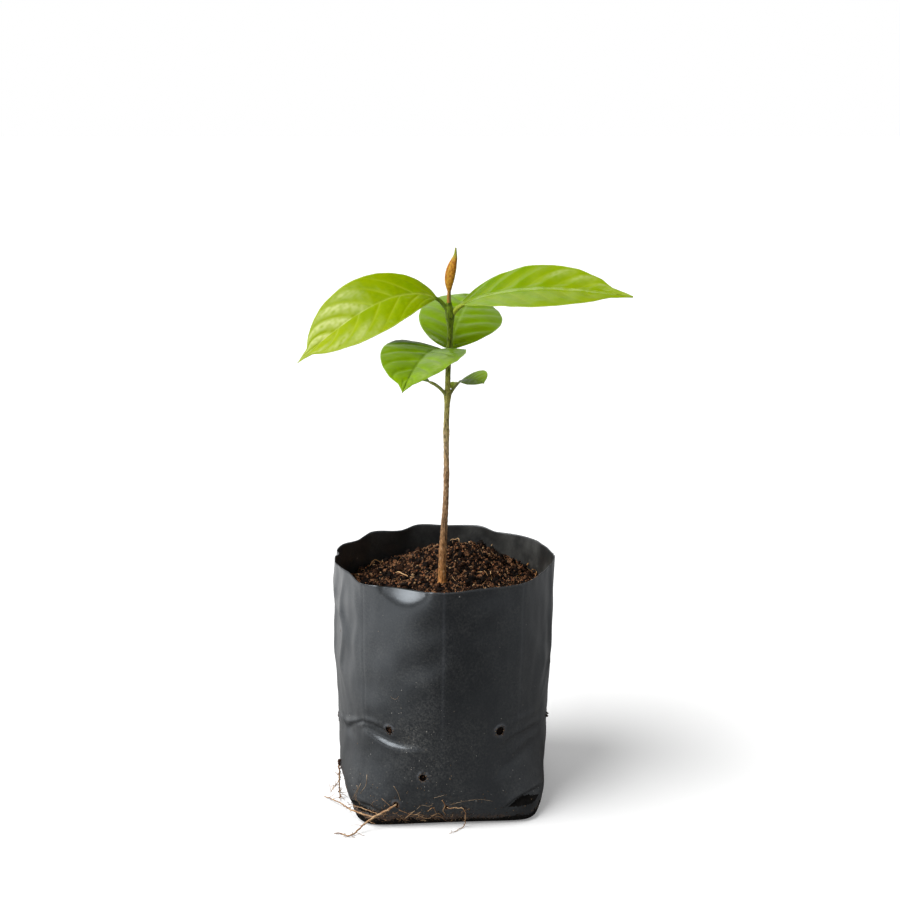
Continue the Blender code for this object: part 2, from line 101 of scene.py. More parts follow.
HOLES = (  # angle, height, radius
    (-119, 43.8, 1.7), (-59, 43.4, 1.9), (-100, 24.4, 1.6), (-156, 80.9, 1.0), (-178, 34.3, 1.7),
    (-10, 36.8, 1.7), (-163, 15.3, 1.5), (-114, 11.5, 1.0), (-88, 10.2, 0.9), (61, 43.6, 1.9),
    (121, 43.6, 1.8), (80, 24.4, 1.7), (24, 80.9, 1.2),
)
PUCKER = 0.16  # the lip round a hole, as a share of its radius
PUCKER_WIDTH = 0.8
BAND_SIZE, BAND_STRETCH, BAND_RELIEF = 6.0, 0.45, 0.075  # upright bands on the left and right sides
CRUMPLE_SIZE, CRUMPLE_RELIEF = 17, 0.16
FINE_CRUMPLE_SIZE, FINE_CRUMPLE_RELIEF, FINE_CRUMPLE_HEIGHT = 7, 0.05, 45
SMOOTH_FOOT = 6
# Soft folds: stations of (angle, height), half-width, rise of the crest, step out from above to below
FOLDS = (
    (((-166, 38.6), (-153, 39.6), (-145, 41.6), (-134, 44.4), (-123, 45.6)), 1.5, 1, 0),
    (((-137, 42), (-130.2, 40.3), (-125.5, 38.8), (-119.9, 37.6), (-113, 37), (-102, 37.2)), 2.1, 0.3, 1.9),
    (((-57, 44.8), (-46, 46.2), (-30, 46)), 1.9, 0.5, 0),
    (((-152, 37), (-145, 40.8), (-136, 44.4), (-129, 44.6), (-124, 43.4), (-120, 42.4)), 1, -0.9, 0),
    (((-24, 38.5), (-38, 40.2), (-50, 39.6), (-62, 36.5)), 1.9, 0.5, 1.3),
    (((-30, 33.5), (-40, 33), (-48, 31), (-60, 26.5)), 2, 0.35, 1),
    (((-31, 12), (-42, 12.9), (-47.6, 12.7), (-52.4, 11.8), (-57, 9.9), (-61, 7.5)), 1.3, 0.5, 2.4),
    (((-22, 86), (-27, 74), (-25, 66), (-31, 56)), 2.4, 0.5, 0),
    (((-16, 107), (-17, 96), (-19, 84), (-16, 72), (-14, 58)), 1.9, 1, 0),
    (((-12, 66), (-20, 58), (-26, 52)), 1.2, 0.5, 0),
    (((-140, 104), (-137, 92), (-141, 78), (-139, 64)), 2, 0.3, 0),
    (((-152, 106), (-156, 94), (-151, 80), (-157, 66), (-152, 54)), 1.8, 0.9, 0),
    (((-172, 99), (-163, 92), (-152, 87), (-146, 79)), 2, 0.7, 0),
    (((-168, 100), (-165, 86), (-170, 70), (-166, 52)), 1.8, 0.8, 0),
    (((-83, 88), (-92, 79), (-101, 73)), 4, -0.25, 0),
    (((-136, 9.8), (-129, 9), (-122, 7.4)), 1.3, 0.8, 0.5),
    (((44, 46), (58, 44.8), (74, 46.5)), 1.9, 0.5, 0),
    (((106, 38.2), (118, 39), (132, 41.5)), 1.8, 0.35, 0.8),
    (((150, 98), (146, 84), (151, 70), (147, 58)), 1.9, 0.5, 0),
    (((26, 100), (30, 84), (25, 72)), 2, 0.45, 0),
)
STEP_SHARPNESS = 2.2
STEP_FADE = 6
SHADED_FOLDS = (  # stations, half-width, reach below, strength: painted shade lies under these
    (((-146, 9), (-138, 9.6), (-129, 9), (-122, 7.4)), 1.1, 1.6, 0.9),
    (FOLDS[3][0], 0.9, 0.8, 0.8),
    (((-161, 42), (-157, 39), (-154, 35)), 1.6, 2, 0.5),
    (((-34, 8), (-40, 9), (-47, 9), (-53, 8.2), (-59, 6)), 3, 3, 0.75),
)
LEAN_IN = ((-111, 15.5, 6.6, 40), (64, 8, 5, 9), (176, 4, 5, 17))  # angle, half-width, depth, tilt
LEAN_IN_EDGE = 1.3


def wrapped(degrees):
    """An angle brought to between -180 and 180."""
    return (np.asarray(degrees, float) + 180) % 360 - 180


def bell(*offs):
    """A bell of height 1: e to the power of minus the sum of the squares."""
    return np.exp(-sum(off**2 for off in offs))


def held(value):
    """The value, held between 0 and 1."""
    return np.clip(value, 0, 1)


def from_spot(angle, height, spot_angle, spot_height):
    """How far to the right of a spot and above it a place on the unrolled wall is, in mm."""
    return wrapped(angle - spot_angle) * MM_PER_DEGREE, height - spot_height


def rim_wave(angle, column):
    """The rim's rise (column 1) or flare (column 2): half a cosine from each station to the next."""
    table = np.array(RIM_WAVE)
    table = np.vstack([table[-1] - (360, 0, 0), table, table[0] + (360, 0, 0)])
    place = np.interp(wrapped(angle), table[:, 0], np.arange(len(table)))
    low = np.minimum(place.astype(int), len(table) - 2)
    ease = (1 - np.cos(math.pi * (place - low))) / 2
    return table[low, column] * (1 - ease) + table[low + 1, column] * ease


def ripples(points, size, seed, waves=14):
    """Smooth seeded relief of about -1 to 1: the sum of sine waves about size long in random directions."""
    dice = np.random.default_rng(seed)
    way = dice.normal(size=(waves, points.shape[-1]))
    way /= np.linalg.norm(way, axis=1)[:, None]
    way *= (2 * math.pi / size / dice.uniform(0.7, 1.6, waves))[:, None]
    phase = dice.uniform(0, 2 * math.pi, waves)
    return np.sin(points @ way.T + phase).sum(-1) / math.sqrt(waves)


def along_route(angle, height, stations):
    """For each point of the wall, its signed distance in mm from a route on the wall, and the share of the
    route's length at the nearest point. The wall is unrolled, so x runs with the angle and y with height."""
    route = np.array(stations, float) * (MM_PER_DEGREE, 1)
    x = (wrapped(angle - stations[0][0]) + stations[0][0]) * MM_PER_DEGREE
    best, signed, share = np.full(x.shape, np.inf), np.zeros(x.shape), np.zeros(x.shape)
    lengths = np.hypot(*np.diff(route, axis=0).T)
    run = np.append(0, np.cumsum(lengths)) / lengths.sum()
    for start, end, low, high in zip(route[:-1], route[1:], run[:-1], run[1:]):
        way = end - start
        t = held(((x - start[0]) * way[0] + (height - start[1]) * way[1]) / (way @ way))
        across, up = x - start[0] - t * way[0], height - start[1] - t * way[1]
        gap = np.hypot(across, up)
        nearer = gap < best
        best = np.where(nearer, gap, best)
        signed = np.where(nearer, gap * np.sign(way[0] * up - way[1] * across), signed)
        share = np.where(nearer, low + (high - low) * t, share)
    return signed, share


def fold_relief(angle, height):
    """How far the soft folds push the film out: a bell across each route, or a step across it that fades
    out above, both swelling from nothing at the route's ends."""
    relief = np.zeros(np.shape(angle))
    for stations, half_width, rise, step in FOLDS:
        signed, share = along_route(angle, height, stations)
        swell = np.sin(math.pi * np.clip(share, 0.02, 0.98)) ** 0.6
        off = signed / half_width
        fade = np.exp(-np.maximum(off, 0) ** 2 / STEP_FADE)
        relief += rise * swell * bell(off)
        relief -= step * swell * (1 + np.tanh(STEP_SHARPNESS * off)) / 2 * fade
    return relief


def lean_in(angle, height):
    """How far the film moves in, and how far it comes down, where its edge leans in: the length above a
    lens-shaped line, which sets in smoothly, turned by the tilt."""
    inward = down = np.zeros(np.broadcast(angle, height).shape)
    for centre, half_angle, depth, tilt in LEAN_IN:
        bulge = held(1 - (wrapped(angle - centre) / half_angle) ** 2)
        above = (height - MOUTH_HEIGHT + depth * bulge) / LEAN_IN_EDGE
        length = LEAN_IN_EDGE * np.logaddexp(0, above) * held(2.5 * bulge)
        inward = inward + math.sin(math.radians(tilt)) * length
        down = down + (1 - math.cos(math.radians(tilt))) * length
    return inward, down


def film_radius(angle, height):
    """From the bag's axis to the outside of its film: a circle at the mouth that turns into a rounded
    square at the foot, with pressed folds, corner tucks, soft folds, puckered holes and a wavy rim."""
    angle, height = np.broadcast_arrays(np.asarray(angle, float), np.asarray(height, float))
    half_width = (
        MOUTH_RADIUS
        - BASE_TUCK * np.exp(-((np.maximum(height, 0) / BASE_TUCK_HEIGHT) ** 1.2))
        - WAIST_DEPTH * bell((height - WAIST_HEIGHT) / WAIST_SPREAD)
    )
    power = 2 + BASE_SQUARENESS * np.exp(-height / SQUARENESS_HEIGHT)
    turn = np.radians(angle + FOLD_TURN - FOOT_TURN * bell(height / FOOT_TURN_HEIGHT))
    radius = half_width / (np.abs(np.cos(turn)) ** power + np.abs(np.sin(turn)) ** power) ** (1 / power)
    for fold, ridge, _ in PRESSED_FOLDS:
        off = np.abs(wrapped(angle + FOLD_TURN - fold))
        groove = CREASE_GROOVE * np.abs(ridge) * bell(off / GROOVE_WIDTH)
        stands = held((height - FOLD_START) / FOLD_FADE)
        radius = radius + stands * (ridge * np.exp(-off / FOLD_WIDTH) - groove)
    radius = radius - FOOT_CURL * held(1 - height / FOOT_CURL_HEIGHT) ** 2
    tucks = [(tuck, TUCK_HEIGHT, TUCK_HALF_ANGLE, TUCK_HALF_HEIGHT, depth) for tuck, depth in TUCKS]
    for centre, middle, half_angle, half_height, depth in (*tucks, *DENTS):
        radius = radius - depth * bell(wrapped(angle - centre) / half_angle, (height - middle) / half_height)
    for centre, ledge, half_angle, depth, fall in POCKETS:
        across = wrapped(angle - centre) / half_angle
        drop = ledge - LEDGE_CURVE * across**2 - height
        step = np.exp(-np.maximum(drop, 0) / fall) / (1 + np.exp(np.clip(-drop / LEDGE_EDGE, -60, 60)))
        radius = radius - depth * np.exp(-(across**4)) * step
    radius = radius + rim_wave(angle, 2) * held(1 - (MOUTH_HEIGHT - height) / RIM_WAVE_DEPTH) ** 2
    radius = radius - lean_in(angle, height)[0]
    for *hole, hole_radius in HOLES:
        gap = np.hypot(*from_spot(angle, height, *hole))
        radius = radius + PUCKER * hole_radius * bell((gap - hole_radius) / PUCKER_WIDTH)
    spot = np.stack([wrapped(angle) * MM_PER_DEGREE, height], axis=-1)
    sides = held(np.abs(np.cos(turn)) * 1.6 - 0.35)
    bands = ripples(spot * (1, BAND_STRETCH), BAND_SIZE, seed=4) * BAND_RELIEF * sides
    fine = ripples(spot, FINE_CRUMPLE_SIZE, seed=2) * FINE_CRUMPLE_RELIEF
    fine = fine * np.exp(-height / FINE_CRUMPLE_HEIGHT)
    crumple = ripples(spot, CRUMPLE_SIZE, seed=9) * CRUMPLE_RELIEF + fine
    return radius + held(height / SMOOTH_FOOT) * (fold_relief(angle, height) + bands + crumple)


def on_film(angle, height, standoff=0.0):
    """The point that stands off the film's outside: the radius turned round the leaning axis, with the
    rim's rise growing in as the eighth power of the height."""
    angle, height = np.broadcast_arrays(np.asarray(angle, float), np.asarray(height, float))
    radius = film_radius(angle, height) + standoff
    lifted = height + rim_wave(angle, 1) * (height / MOUTH_HEIGHT) ** 8 - lean_in(angle, height)[1]
    shift = np.interp(height, *np.transpose(LEAN))
    turn = np.radians(angle)
    return np.stack([radius * np.cos(turn) + shift, radius * np.sin(turn), lifted], axis=-1)


def colour(code):
    """An sRGB hex value as linear red, green, blue and alpha."""
    levels = [int(code[place : place + 2], 16) / 255 for place in (1, 3, 5)]
    return [v / 12.92 if v <= 0.04045 else ((v + 0.055) / 1.055) ** 2.4 for v in levels] + [1.0]


def feed(node, *values, **named):
    """Fills a node's inputs, in order or by name, from a value, a hex colour, a socket, or another node's
    first live output."""
    for name, value in (*enumerate(values), *named.items()):
        name = name.replace("_", " ") if isinstance(name, str) else name
        live = [socket for socket in node.inputs if socket.enabled and socket.name == name]
        socket = live[0] if live else node.inputs[name]
        if isinstance(value, bpy.types.Node):
            value = next(output for output in value.outputs if output.enabled)
        if isinstance(value, bpy.types.NodeSocket):
            node.id_data.links.new(value, socket)
        else:
            socket.default_value = colour(value) if isinstance(value, str) else value


def add_node(tree, kind, *values, **named):
    """Adds a node of that kind. Names in small letters are its properties, and the rest fills its inputs."""
    node = tree.nodes.new("ShaderNode" + kind)
    for name in [name for name in named if name.islower()]:
        setattr(node, name, named.pop(name))
    feed(node, *values, **named)
    return node


def new_material(name):
    """A material, the function that adds nodes to it, its Principled shader and its Object coordinates."""
    made = bpy.data.materials.new(name)
    made.use_nodes = True
    add = partial(add_node, made.node_tree)
    return made, add, made.node_tree.nodes["Principled BSDF"], add("TexCoord").outputs["Object"]


def layered(add, tone, *layers):
    """A colour with others laid over it in turn, each by its own share."""
    for amount, over in layers:
        tone = add("Mix", Factor=amount, A=tone, B=over, data_type="RGBA")
    return tone


def mottled(add, place, size, detail, roughness, low, high, dark, pale):
    """Two tones mixed by patches of that size in mm, and the patches themselves."""
    patches = add("TexNoise", Vector=place, Scale=1000 / size, Detail=detail, Roughness=roughness)
    share = add("MapRange", patches, low, high)
    return add("Mix", Factor=share, A=dark, B=pale, data_type="RGBA"), patches


def grid_faces(rows, columns):
    """Quads over rings of points that are numbered ring by ring."""
    index = np.arange(rows * columns).reshape(rows, columns)
    after = np.roll(index, -1, axis=1)
    return np.stack([index[:-1], after[:-1], after[1:], index[1:]], axis=-1).reshape(-1, 4)


def tube_faces(rows, columns):
    """The quads over rings of points, with a face across each end."""
    first = np.arange(columns)
    last = first + (rows - 1) * columns
    return grid_faces(rows, columns).tolist() + [first[::-1].tolist(), last.tolist()]


def add_piece(name, points, faces, finish, replaced=(), values=None, smooth=True):
    """A mesh from points in mm, with named values at its points, that rides on the plant."""
    mesh = bpy.data.meshes.new(name)
    mesh.from_pydata((np.asarray(points, float).reshape(-1, 3) * MM).tolist(), [], faces)
    for label, value in (values or {}).items():
        layer = mesh.attributes.new(label, "FLOAT", "POINT")
        layer.data.foreach_set("value", np.asarray(value, np.float32).ravel())
    if smooth:
        mesh.shade_smooth()
    mesh.materials.append(finish)
    piece = bpy.data.objects.new(name, mesh)
    bpy.context.scene.collection.objects.link(piece)
    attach(piece, "root")
    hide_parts(*replaced)
    return piece


def film_grid():
    """Angles and heights over the wall, and each row's share of the way from the middle of the base."""
    steps = (  # from one height to the next, finer in the foot, the folds and the rim
        (0, 3, 0.3), (3, 16, 0.5), (16, 34, 1.15), (34, 48, 0.75), (48, 96, 1.9),
        (96, MOUTH_HEIGHT + 0.1, 0.7),
    )
    heights = np.concatenate([np.arange(*step) for step in steps])
    heights[-1] = MOUTH_HEIGHT
    angles = np.concatenate([np.arange(-180, 0, 0.75), np.arange(0, 180, 1.5)])  # finer in front
    shares = np.linspace(0.03, 1, 10, endpoint=False)
    rows = np.concatenate([np.zeros(len(shares)), heights])
    share = np.concatenate([shares, np.ones(len(heights))])
    angle, height = np.meshgrid(angles, rows)
    return angle, height, np.broadcast_to(share[:, None], angle.shape)


def pierced(angle, height, share, faces):
    """Leaves out the quads in each hole, and moves the points round it onto its circle."""
    flat_angle, flat_height = angle.ravel().copy(), height.ravel().copy()
    wall = share.ravel() == 1
    for hole_angle, hole_height, hole_radius in HOLES:
        gap_x, gap_y = from_spot(flat_angle, flat_height, hole_angle, hole_height)
        gap = np.where(wall, np.hypot(gap_x, gap_y), np.inf)
        inside = gap[faces].mean(axis=1) < hole_radius
        border = np.intersect1d(faces[inside], faces[~inside])
        faces = faces[~inside]
        flat_angle[border] = hole_angle + gap_x[border] / gap[border] * hole_radius / MM_PER_DEGREE
        flat_height[border] = hole_height + gap_y[border] / gap[border] * hole_radius
    return flat_angle, flat_height, faces


film_angle, film_height, film_share = film_grid()
film_columns = film_angle.shape[1]
film_faces = grid_faces(*film_angle.shape)
film_angle, film_height, film_faces = pierced(film_angle, film_height, film_share, film_faces)
film_points = on_film(film_angle, film_height)
film_share = film_share.ravel()
film_points[:, :2] *= film_share[:, None]
SEAM_PLACE = 26  # the base is sealed across the middle, and folded in on each side
seam = bell(film_points[:, 1] / 1.2) + bell((np.abs(film_points[:, 0]) - SEAM_PLACE) / 0.8)
film_points[:, 2] += np.where(film_share < 1, 0.5 * (1 - film_share) * held(seam), 0)
film_points = np.vstack([film_points, [0, 0, 0.2]])
pole = len(film_points) - 1
first_ring = np.arange(film_columns)
fan = np.stack([np.full(film_columns, pole), np.roll(first_ring, -1), first_ring], axis=1)

# The pressed folds are marked where the film was creased. Soil has dried on round holes and along the foot,
# and dust lies thickest below the left hole and towards the foot
crease = sum(
    whitened * np.exp(-np.abs(wrapped(film_angle + FOLD_TURN - fold)) / 0.6) * held((film_height - 30) / 30)
    for fold, _, whitened in PRESSED_FOLDS
)
soiled = 1.4 * np.exp(-((film_height / 9) ** 1.5)) * (0.7 + 0.3 * bell(wrapped(film_angle + 112) / 30))
for *hole, hole_radius in HOLES:
    rim_gap = np.hypot(*from_spot(film_angle, film_height, *hole)) - hole_radius
    soiled = soiled + 0.75 * bell(np.maximum(rim_gap, 0) / 0.7)
    over = held((film_height - hole[1]) / hole_radius)
    crease = crease + 1.2 * hole_radius * bell((rim_gap - 0.8) / 0.5) * (0.35 + 0.65 * over)
# Painted shade: near-black darkening along the foot where the film curls under, below the shaded folds and
# in the left pressed fold's crease
painted_shade = held(1.3 - film_height / 3.4) * (0.75 + 0.25 * ripples(film_points[:pole], 5.0, seed=31))
for stations, half_width, below, strength in SHADED_FOLDS:
    signed, run = along_route(film_angle, film_height, stations)
    off = signed / half_width
    under = held(2 * off + 0.6) * bell(np.maximum(off - 0.8, 0) / below)
    painted_shade = painted_shade + strength * under * np.sin(math.pi * held(run)) ** 0.7
left_fold = bell(wrapped(film_angle + FOLD_TURN - PRESSED_FOLDS[0][0]) / 0.5)
painted_shade = painted_shade + 0.4 * left_fold * held((film_height - 25) / 30)
dust_spot = bell(wrapped(film_angle + 103) / 11, (film_height - 40) / 18)
dusty = 0.24 + 0.12 * bell(film_height / 50) + 0.45 * dust_spot

# Low-density polythene, blown and carbon black: a semi-gloss film that takes a grey layer of dry dust,
# thicker low down and on the inside, with pale specks of grit and brown dried mud, and near-black matt
# painted shade at the foot and under folds
polythene, add, shader, place = new_material("dusty_black_polythene")
here = {name: add("Attribute", attribute_name=name).outputs["Fac"]
        for name in ("crease", "soiled", "dusty", "painted_shade")}
outward = add("VectorMath", place, (1, 1, 0), operation="MULTIPLY")
facing = add("NewGeometry").outputs["Normal"]
facing = add("VectorMath", facing, outward, operation="DOT_PRODUCT").outputs["Value"]
inside = add("MapRange", facing, 0, -0.02)
patches = add("TexNoise", Vector=place, Scale=1000 / 14, Detail=6, Roughness=0.6)
patchy = add("MapRange", patches, 0.38, 0.66, 0.25)
grain = add("TexNoise", Vector=place, Scale=1000 / 0.9, Detail=4, Roughness=0.75)
dust = add("Math", here["dusty"], add("MapRange", grain, 0.42, 0.74), operation="MULTIPLY")
# Inside, the dust grows paler towards +X: dust plus painted light on the inner wall's lit right side, with
# its shaded left kept dark
inside_dust_and_light = add("MapRange", add("SeparateXYZ", place).outputs["X"], -0.015, 0.04, 0.02, 0.42)
inside_dust_and_light = add("Math", inside_dust_and_light, inside, operation="MULTIPLY")
dust = add("Math", dust, inside_dust_and_light, operation="ADD")
dust = add("Math", dust, patchy, operation="MULTIPLY", use_clamp=True)
creased = add("Math", here["crease"], 0.14, operation="MULTIPLY")
jitter = add("TexNoise", Vector=place, Scale=1000 / 0.8, Detail=2).outputs["Color"]
jittered = add("Mix", Factor=0.0006, A=place, B=jitter, data_type="VECTOR")
specks = add("TexVoronoi", Vector=jittered, Scale=1000 / 1.05)
dice = add("SeparateColor", specks.outputs["Color"]).outputs
limit = add("MapRange", here["dusty"], 0.25, 0.9, 0.99, 0.55)
picked = add("Math", dice["Red"], limit, operation="GREATER_THAN")
speck = add("Math", specks, add("MapRange", dice["Blue"], 0, 1, 0.08, 0.24), operation="LESS_THAN")
speck = add("Math", speck, picked, operation="MULTIPLY")
spots = add("TexNoise", Vector=place, Scale=1000 / 2.2, Detail=6, Roughness=0.75)
mud = add("MapRange", add("Math", spots, here["soiled"], operation="MULTIPLY"), 0.3, 0.62)
# painted shade: the film turns near black and matt where it lies in shadow
sunk = add("MapRange", here["painted_shade"], 0.15, 0.75, 0, 0.93)
grit_tone = add("Mix", Factor=dice["Green"], A="#5a4e40", B="#a19e98", data_type="RGBA")
mud_share = add("MapRange", grain, 0.35, 0.65)
mud_tone = add("Mix", Factor=mud_share, A="#2b1c12", B="#7a5535", data_type="RGBA")
tone = layered(
    add, "#121315", (dust, "#75746f"), (creased, "#8d9097"), (speck, grit_tone), (mud, mud_tone),
    (sunk, "#0b0705"),
)
dull = add("Math", dust, mud, operation="ADD", use_clamp=True)
dull = add("Math", dull, sunk, operation="MAXIMUM")
wrinkles = add("TexNoise", Vector=place, Scale=1000 / 3.2, Detail=4, Roughness=0.55)
bump = add("Bump", Height=wrinkles, Strength=0.35, Distance=0.0002)
grit = add("Math", speck, mud, operation="ADD", use_clamp=True)
bump = add("Bump", Height=grit, Strength=0.5, Distance=0.00025, Normal=bump)
feed(shader, Base_Color=tone, Roughness=add("MapRange", dull, 0, 1, 0.32, 0.85), Normal=bump, IOR=1.51,
     Specular_IOR_Level=0.8, Specular_Tint=(0.86, 0.93, 1, 1))

film = add_piece(
    "film", film_points, film_faces.tolist() + fan.tolist(), polythene, ["bag"],
    {"crease": np.append(crease, 0), "soiled": np.append(soiled, 1), "dusty": np.append(dusty, 0.3),
     "painted_shade": np.append(painted_shade, 1)},
)
wall = film.modifiers.new("film thickness", "SOLIDIFY")
wall.thickness = FILM * MM
wall.offset = -1


# -- the root ball ----------------------------------------------------------------------------------
# Moist coir dust and loam, pressed in by hand and heaped up behind the stem. It is a crumb structure:
# dark damp granules of 0.5 to 3 mm, with paler dry ones on top and tan coir fibres all through.

SOIL_EDGE_HEIGHT = 92.0
SOIL_DOME = 3.4
MOUND_HEIGHT = 10.0
MOUND_AT = (5.0, 33.0)
MOUND_SPREAD = (17.0, 12.0)
SOIL_INSET = 0.8
SOIL_RINGS = 70
SOIL_UNDER_RINGS = 8
SOIL_COLUMNS = 240


def soil_height(x, y):
    """The soil's top: a shallow dome, a mound behind the stem, and low clods made of crossing sines."""
    dome = SOIL_DOME * (1 - (x**2 + y**2) / MOUTH_RADIUS**2)
    across = (x - MOUND_AT[0]) / MOUND_SPREAD[0]
    along = (y - MOUND_AT[1]) / MOUND_SPREAD[1]
    mound = MOUND_HEIGHT * np.exp(-(across**2 + along**2) / 2)
    clods = 0.5 * (np.sin(0.55 * x + 1.3) * np.sin(0.62 * y) + np.sin(0.31 * x - 0.43 * y))
    lumps = 0.5 * ripples(np.stack([x, y], axis=-1), 6.5, seed=21)
    lumps = lumps + 0.45 * ripples(np.stack([x, y], axis=-1), 3.1, seed=22, waves=24)
    return SOIL_EDGE_HEIGHT + dome + mound + clods + lumps - 0.3


def soil_material(name, dark, pale, size):
    """Coir and loam: a matt earth whose damp and dry parts mottle it, with a crumbly bump."""
    made, add, shader, place = new_material(name)
    tone, _ = mottled(add, place, size, 5, 0.7, 0.35, 0.68, dark, pale)
    crumbly = add("TexNoise", Vector=place, Scale=1000 / 0.5, Detail=3)
    bump = add("Bump", Height=crumbly, Strength=0.7, Distance=0.0003)
    feed(shader, Base_Color=tone, Roughness=0.85, Specular_IOR_Level=0.15, Normal=bump)
    return made


soil_angles = np.arange(SOIL_COLUMNS) * 360 / SOIL_COLUMNS - 180
side_heights = np.concatenate([np.arange(1.2, 12, 0.9), np.arange(12, SOIL_EDGE_HEIGHT, 2.0)])
side_rings = on_film(soil_angles, side_heights[:, None], -SOIL_INSET)
edge = on_film(soil_angles, SOIL_EDGE_HEIGHT, -SOIL_INSET)
edge = on_film(soil_angles, soil_height(edge[:, 0], edge[:, 1]), -SOIL_INSET)
shares = np.linspace(1, 0.01, SOIL_RINGS)[:, None, None]
top_rings = edge * shares
top_rings[:, :, 2] = soil_height(top_rings[:, :, 0], top_rings[:, :, 1])
under_rings = side_rings[0] * np.linspace(0.02, 1, SOIL_UNDER_RINGS, endpoint=False)[:, None, None]
under_rings[:, :, 2] = side_rings[0, 0, 2]
soil_points = np.concatenate([under_rings, side_rings, top_rings])
soil_faces = tube_faces(len(soil_points), SOIL_COLUMNS)
# The soil body is near black: dark damp loam, darkened further as painted shade for the gaps between crumbs
# and behind the drain holes
dark_loam_and_shade = soil_material("dark_loam_and_painted_shade", "#070302", "#1d110a", 2.2)
add_piece("soil", soil_points, soil_faces, dark_loam_and_shade, ["root_ball"])

CRUMB_TONES = (  # name, dark and pale colour, share of the crumbs
    ("black_crumbs", "#080402", "#180d07", 0.30),
    ("dark_crumbs", "#1c0f07", "#3e2516", 0.29),
    ("brown_crumbs", "#5a3a26", "#986e4e", 0.26),
    ("russet_crumbs", "#6e4028", "#a8724e", 0.10),
    ("dry_crumbs", "#8a6848", "#c8a67e", 0.05),
)


def crumb_shapes(centres, sizes, dice):
    """Irregular granules: an icosahedron at each centre, stretched along random axes, turned at random,
    with each corner pushed in or out."""
    golden = (1 + math.sqrt(5)) / 2
    signs = np.array([(a, b) for a in (-1, 1) for b in (-1, 1)], float)
    zero = np.zeros(4)
    corners = np.concatenate([
        np.stack([zero, signs[:, 0], signs[:, 1] * golden], axis=1),
        np.stack([signs[:, 0], signs[:, 1] * golden, zero], axis=1),
        np.stack([signs[:, 1] * golden, zero, signs[:, 0]], axis=1),
    ]) / math.hypot(1, golden)
    gaps = np.linalg.norm(corners[:, None] - corners[None], axis=2)
    near = np.abs(gaps - gaps[gaps > 0].min()) < 1e-6
    faces = np.array([
        (a, b, c) for a in range(12) for b in range(a + 1, 12) for c in range(b + 1, 12)
        if near[a, b] and near[b, c] and near[a, c]
    ])
    inward = np.linalg.det(corners[faces]) < 0
    faces[inward] = faces[inward][:, ::-1]
    count = len(centres)
    points = corners * dice.uniform(0.62, 1.3, (count, 12, 1)) * dice.uniform(0.7, 1.3, (count, 1, 3))
    turns, _ = np.linalg.qr(dice.normal(size=(count, 3, 3)))
    turns *= np.sign(np.linalg.det(turns))[:, None, None]
    points = np.einsum("nij,nkj->nki", turns, points) * sizes[:, None, None] / 2 + centres[:, None]
    numbers = faces[None] + 12 * np.arange(count)[:, None, None]
    return points.reshape(-1, 3), numbers.reshape(-1, 3)


def add_crumbs(name, centres, sizes, dice, dark, pale, patch=1.3, finish=None):
    """A piece of granules in two tones, mottled in patches of that size."""
    points, faces = crumb_shapes(centres, sizes, dice)
    earth = soil_material(finish or name, dark, pale, patch)
    add_piece(name, points, faces.tolist(), earth, ["root_ball"], smooth=False)


def scattered_crumbs(dice):
    """Centres and sizes of the granules that lie on the soil: even over the disc, more of the fine ones."""
    centres = []
    sizes = []
    for count, least, most, sunk in ((9500, 0.4, 0.85, 0.05), (5600, 0.7, 1.35, 0.1), (320, 1.4, 2.3, 0.3),
                                     (160, 2.2, 3.4, 0.5)):
        far = np.sqrt(dice.uniform(0, 1, count))
        turn = dice.uniform(-180, 180, count)
        rim = on_film(turn, SOIL_EDGE_HEIGHT + 2, -0.6)
        size = dice.uniform(least, most, count)
        reach = 1 - size / 2 / np.hypot(rim[:, 0], rim[:, 1])
        x, y = rim[:, 0] * far * reach, rim[:, 1] * far * reach
        z = soil_height(x, y) + dice.uniform(-sunk, 0.9, count) * size / 2
        centres.append(np.stack([x, y, z], axis=1))
        sizes.append(size)
    return np.vstack(centres), np.concatenate(sizes)


HOLLOWS, LUMPS = -0.6, 0.25  # crumbs in the hollows are black or dark, and black ones on the lumps are brown
COARSE, COARSEST = 1.25, 1.9  # sizes above which no crumb is russet or dry, and then no crumb is brown

crumb_dice = np.random.default_rng(11)
crumb_centres, crumb_sizes = scattered_crumbs(crumb_dice)
crumb_group = crumb_dice.choice(len(CRUMB_TONES), len(crumb_sizes), p=[tone[3] for tone in CRUMB_TONES])
lumps = ripples(crumb_centres[:, :2], 3.6, seed=23, waves=24)
crumb_group = np.where(lumps < HOLLOWS, crumb_group % 2, crumb_group)
crumb_group = np.where((lumps > LUMPS) & (crumb_group == 0), 2, crumb_group)
crumb_group = np.where(crumb_sizes > COARSE, crumb_group % 3, crumb_group)
crumb_group = np.where(crumb_sizes > COARSEST, crumb_group % 2, crumb_group)
for number, (name, dark, pale, _) in enumerate(CRUMB_TONES):
    chosen = crumb_group == number
    add_crumbs(name, crumb_centres[chosen], crumb_sizes[chosen], crumb_dice, dark, pale)


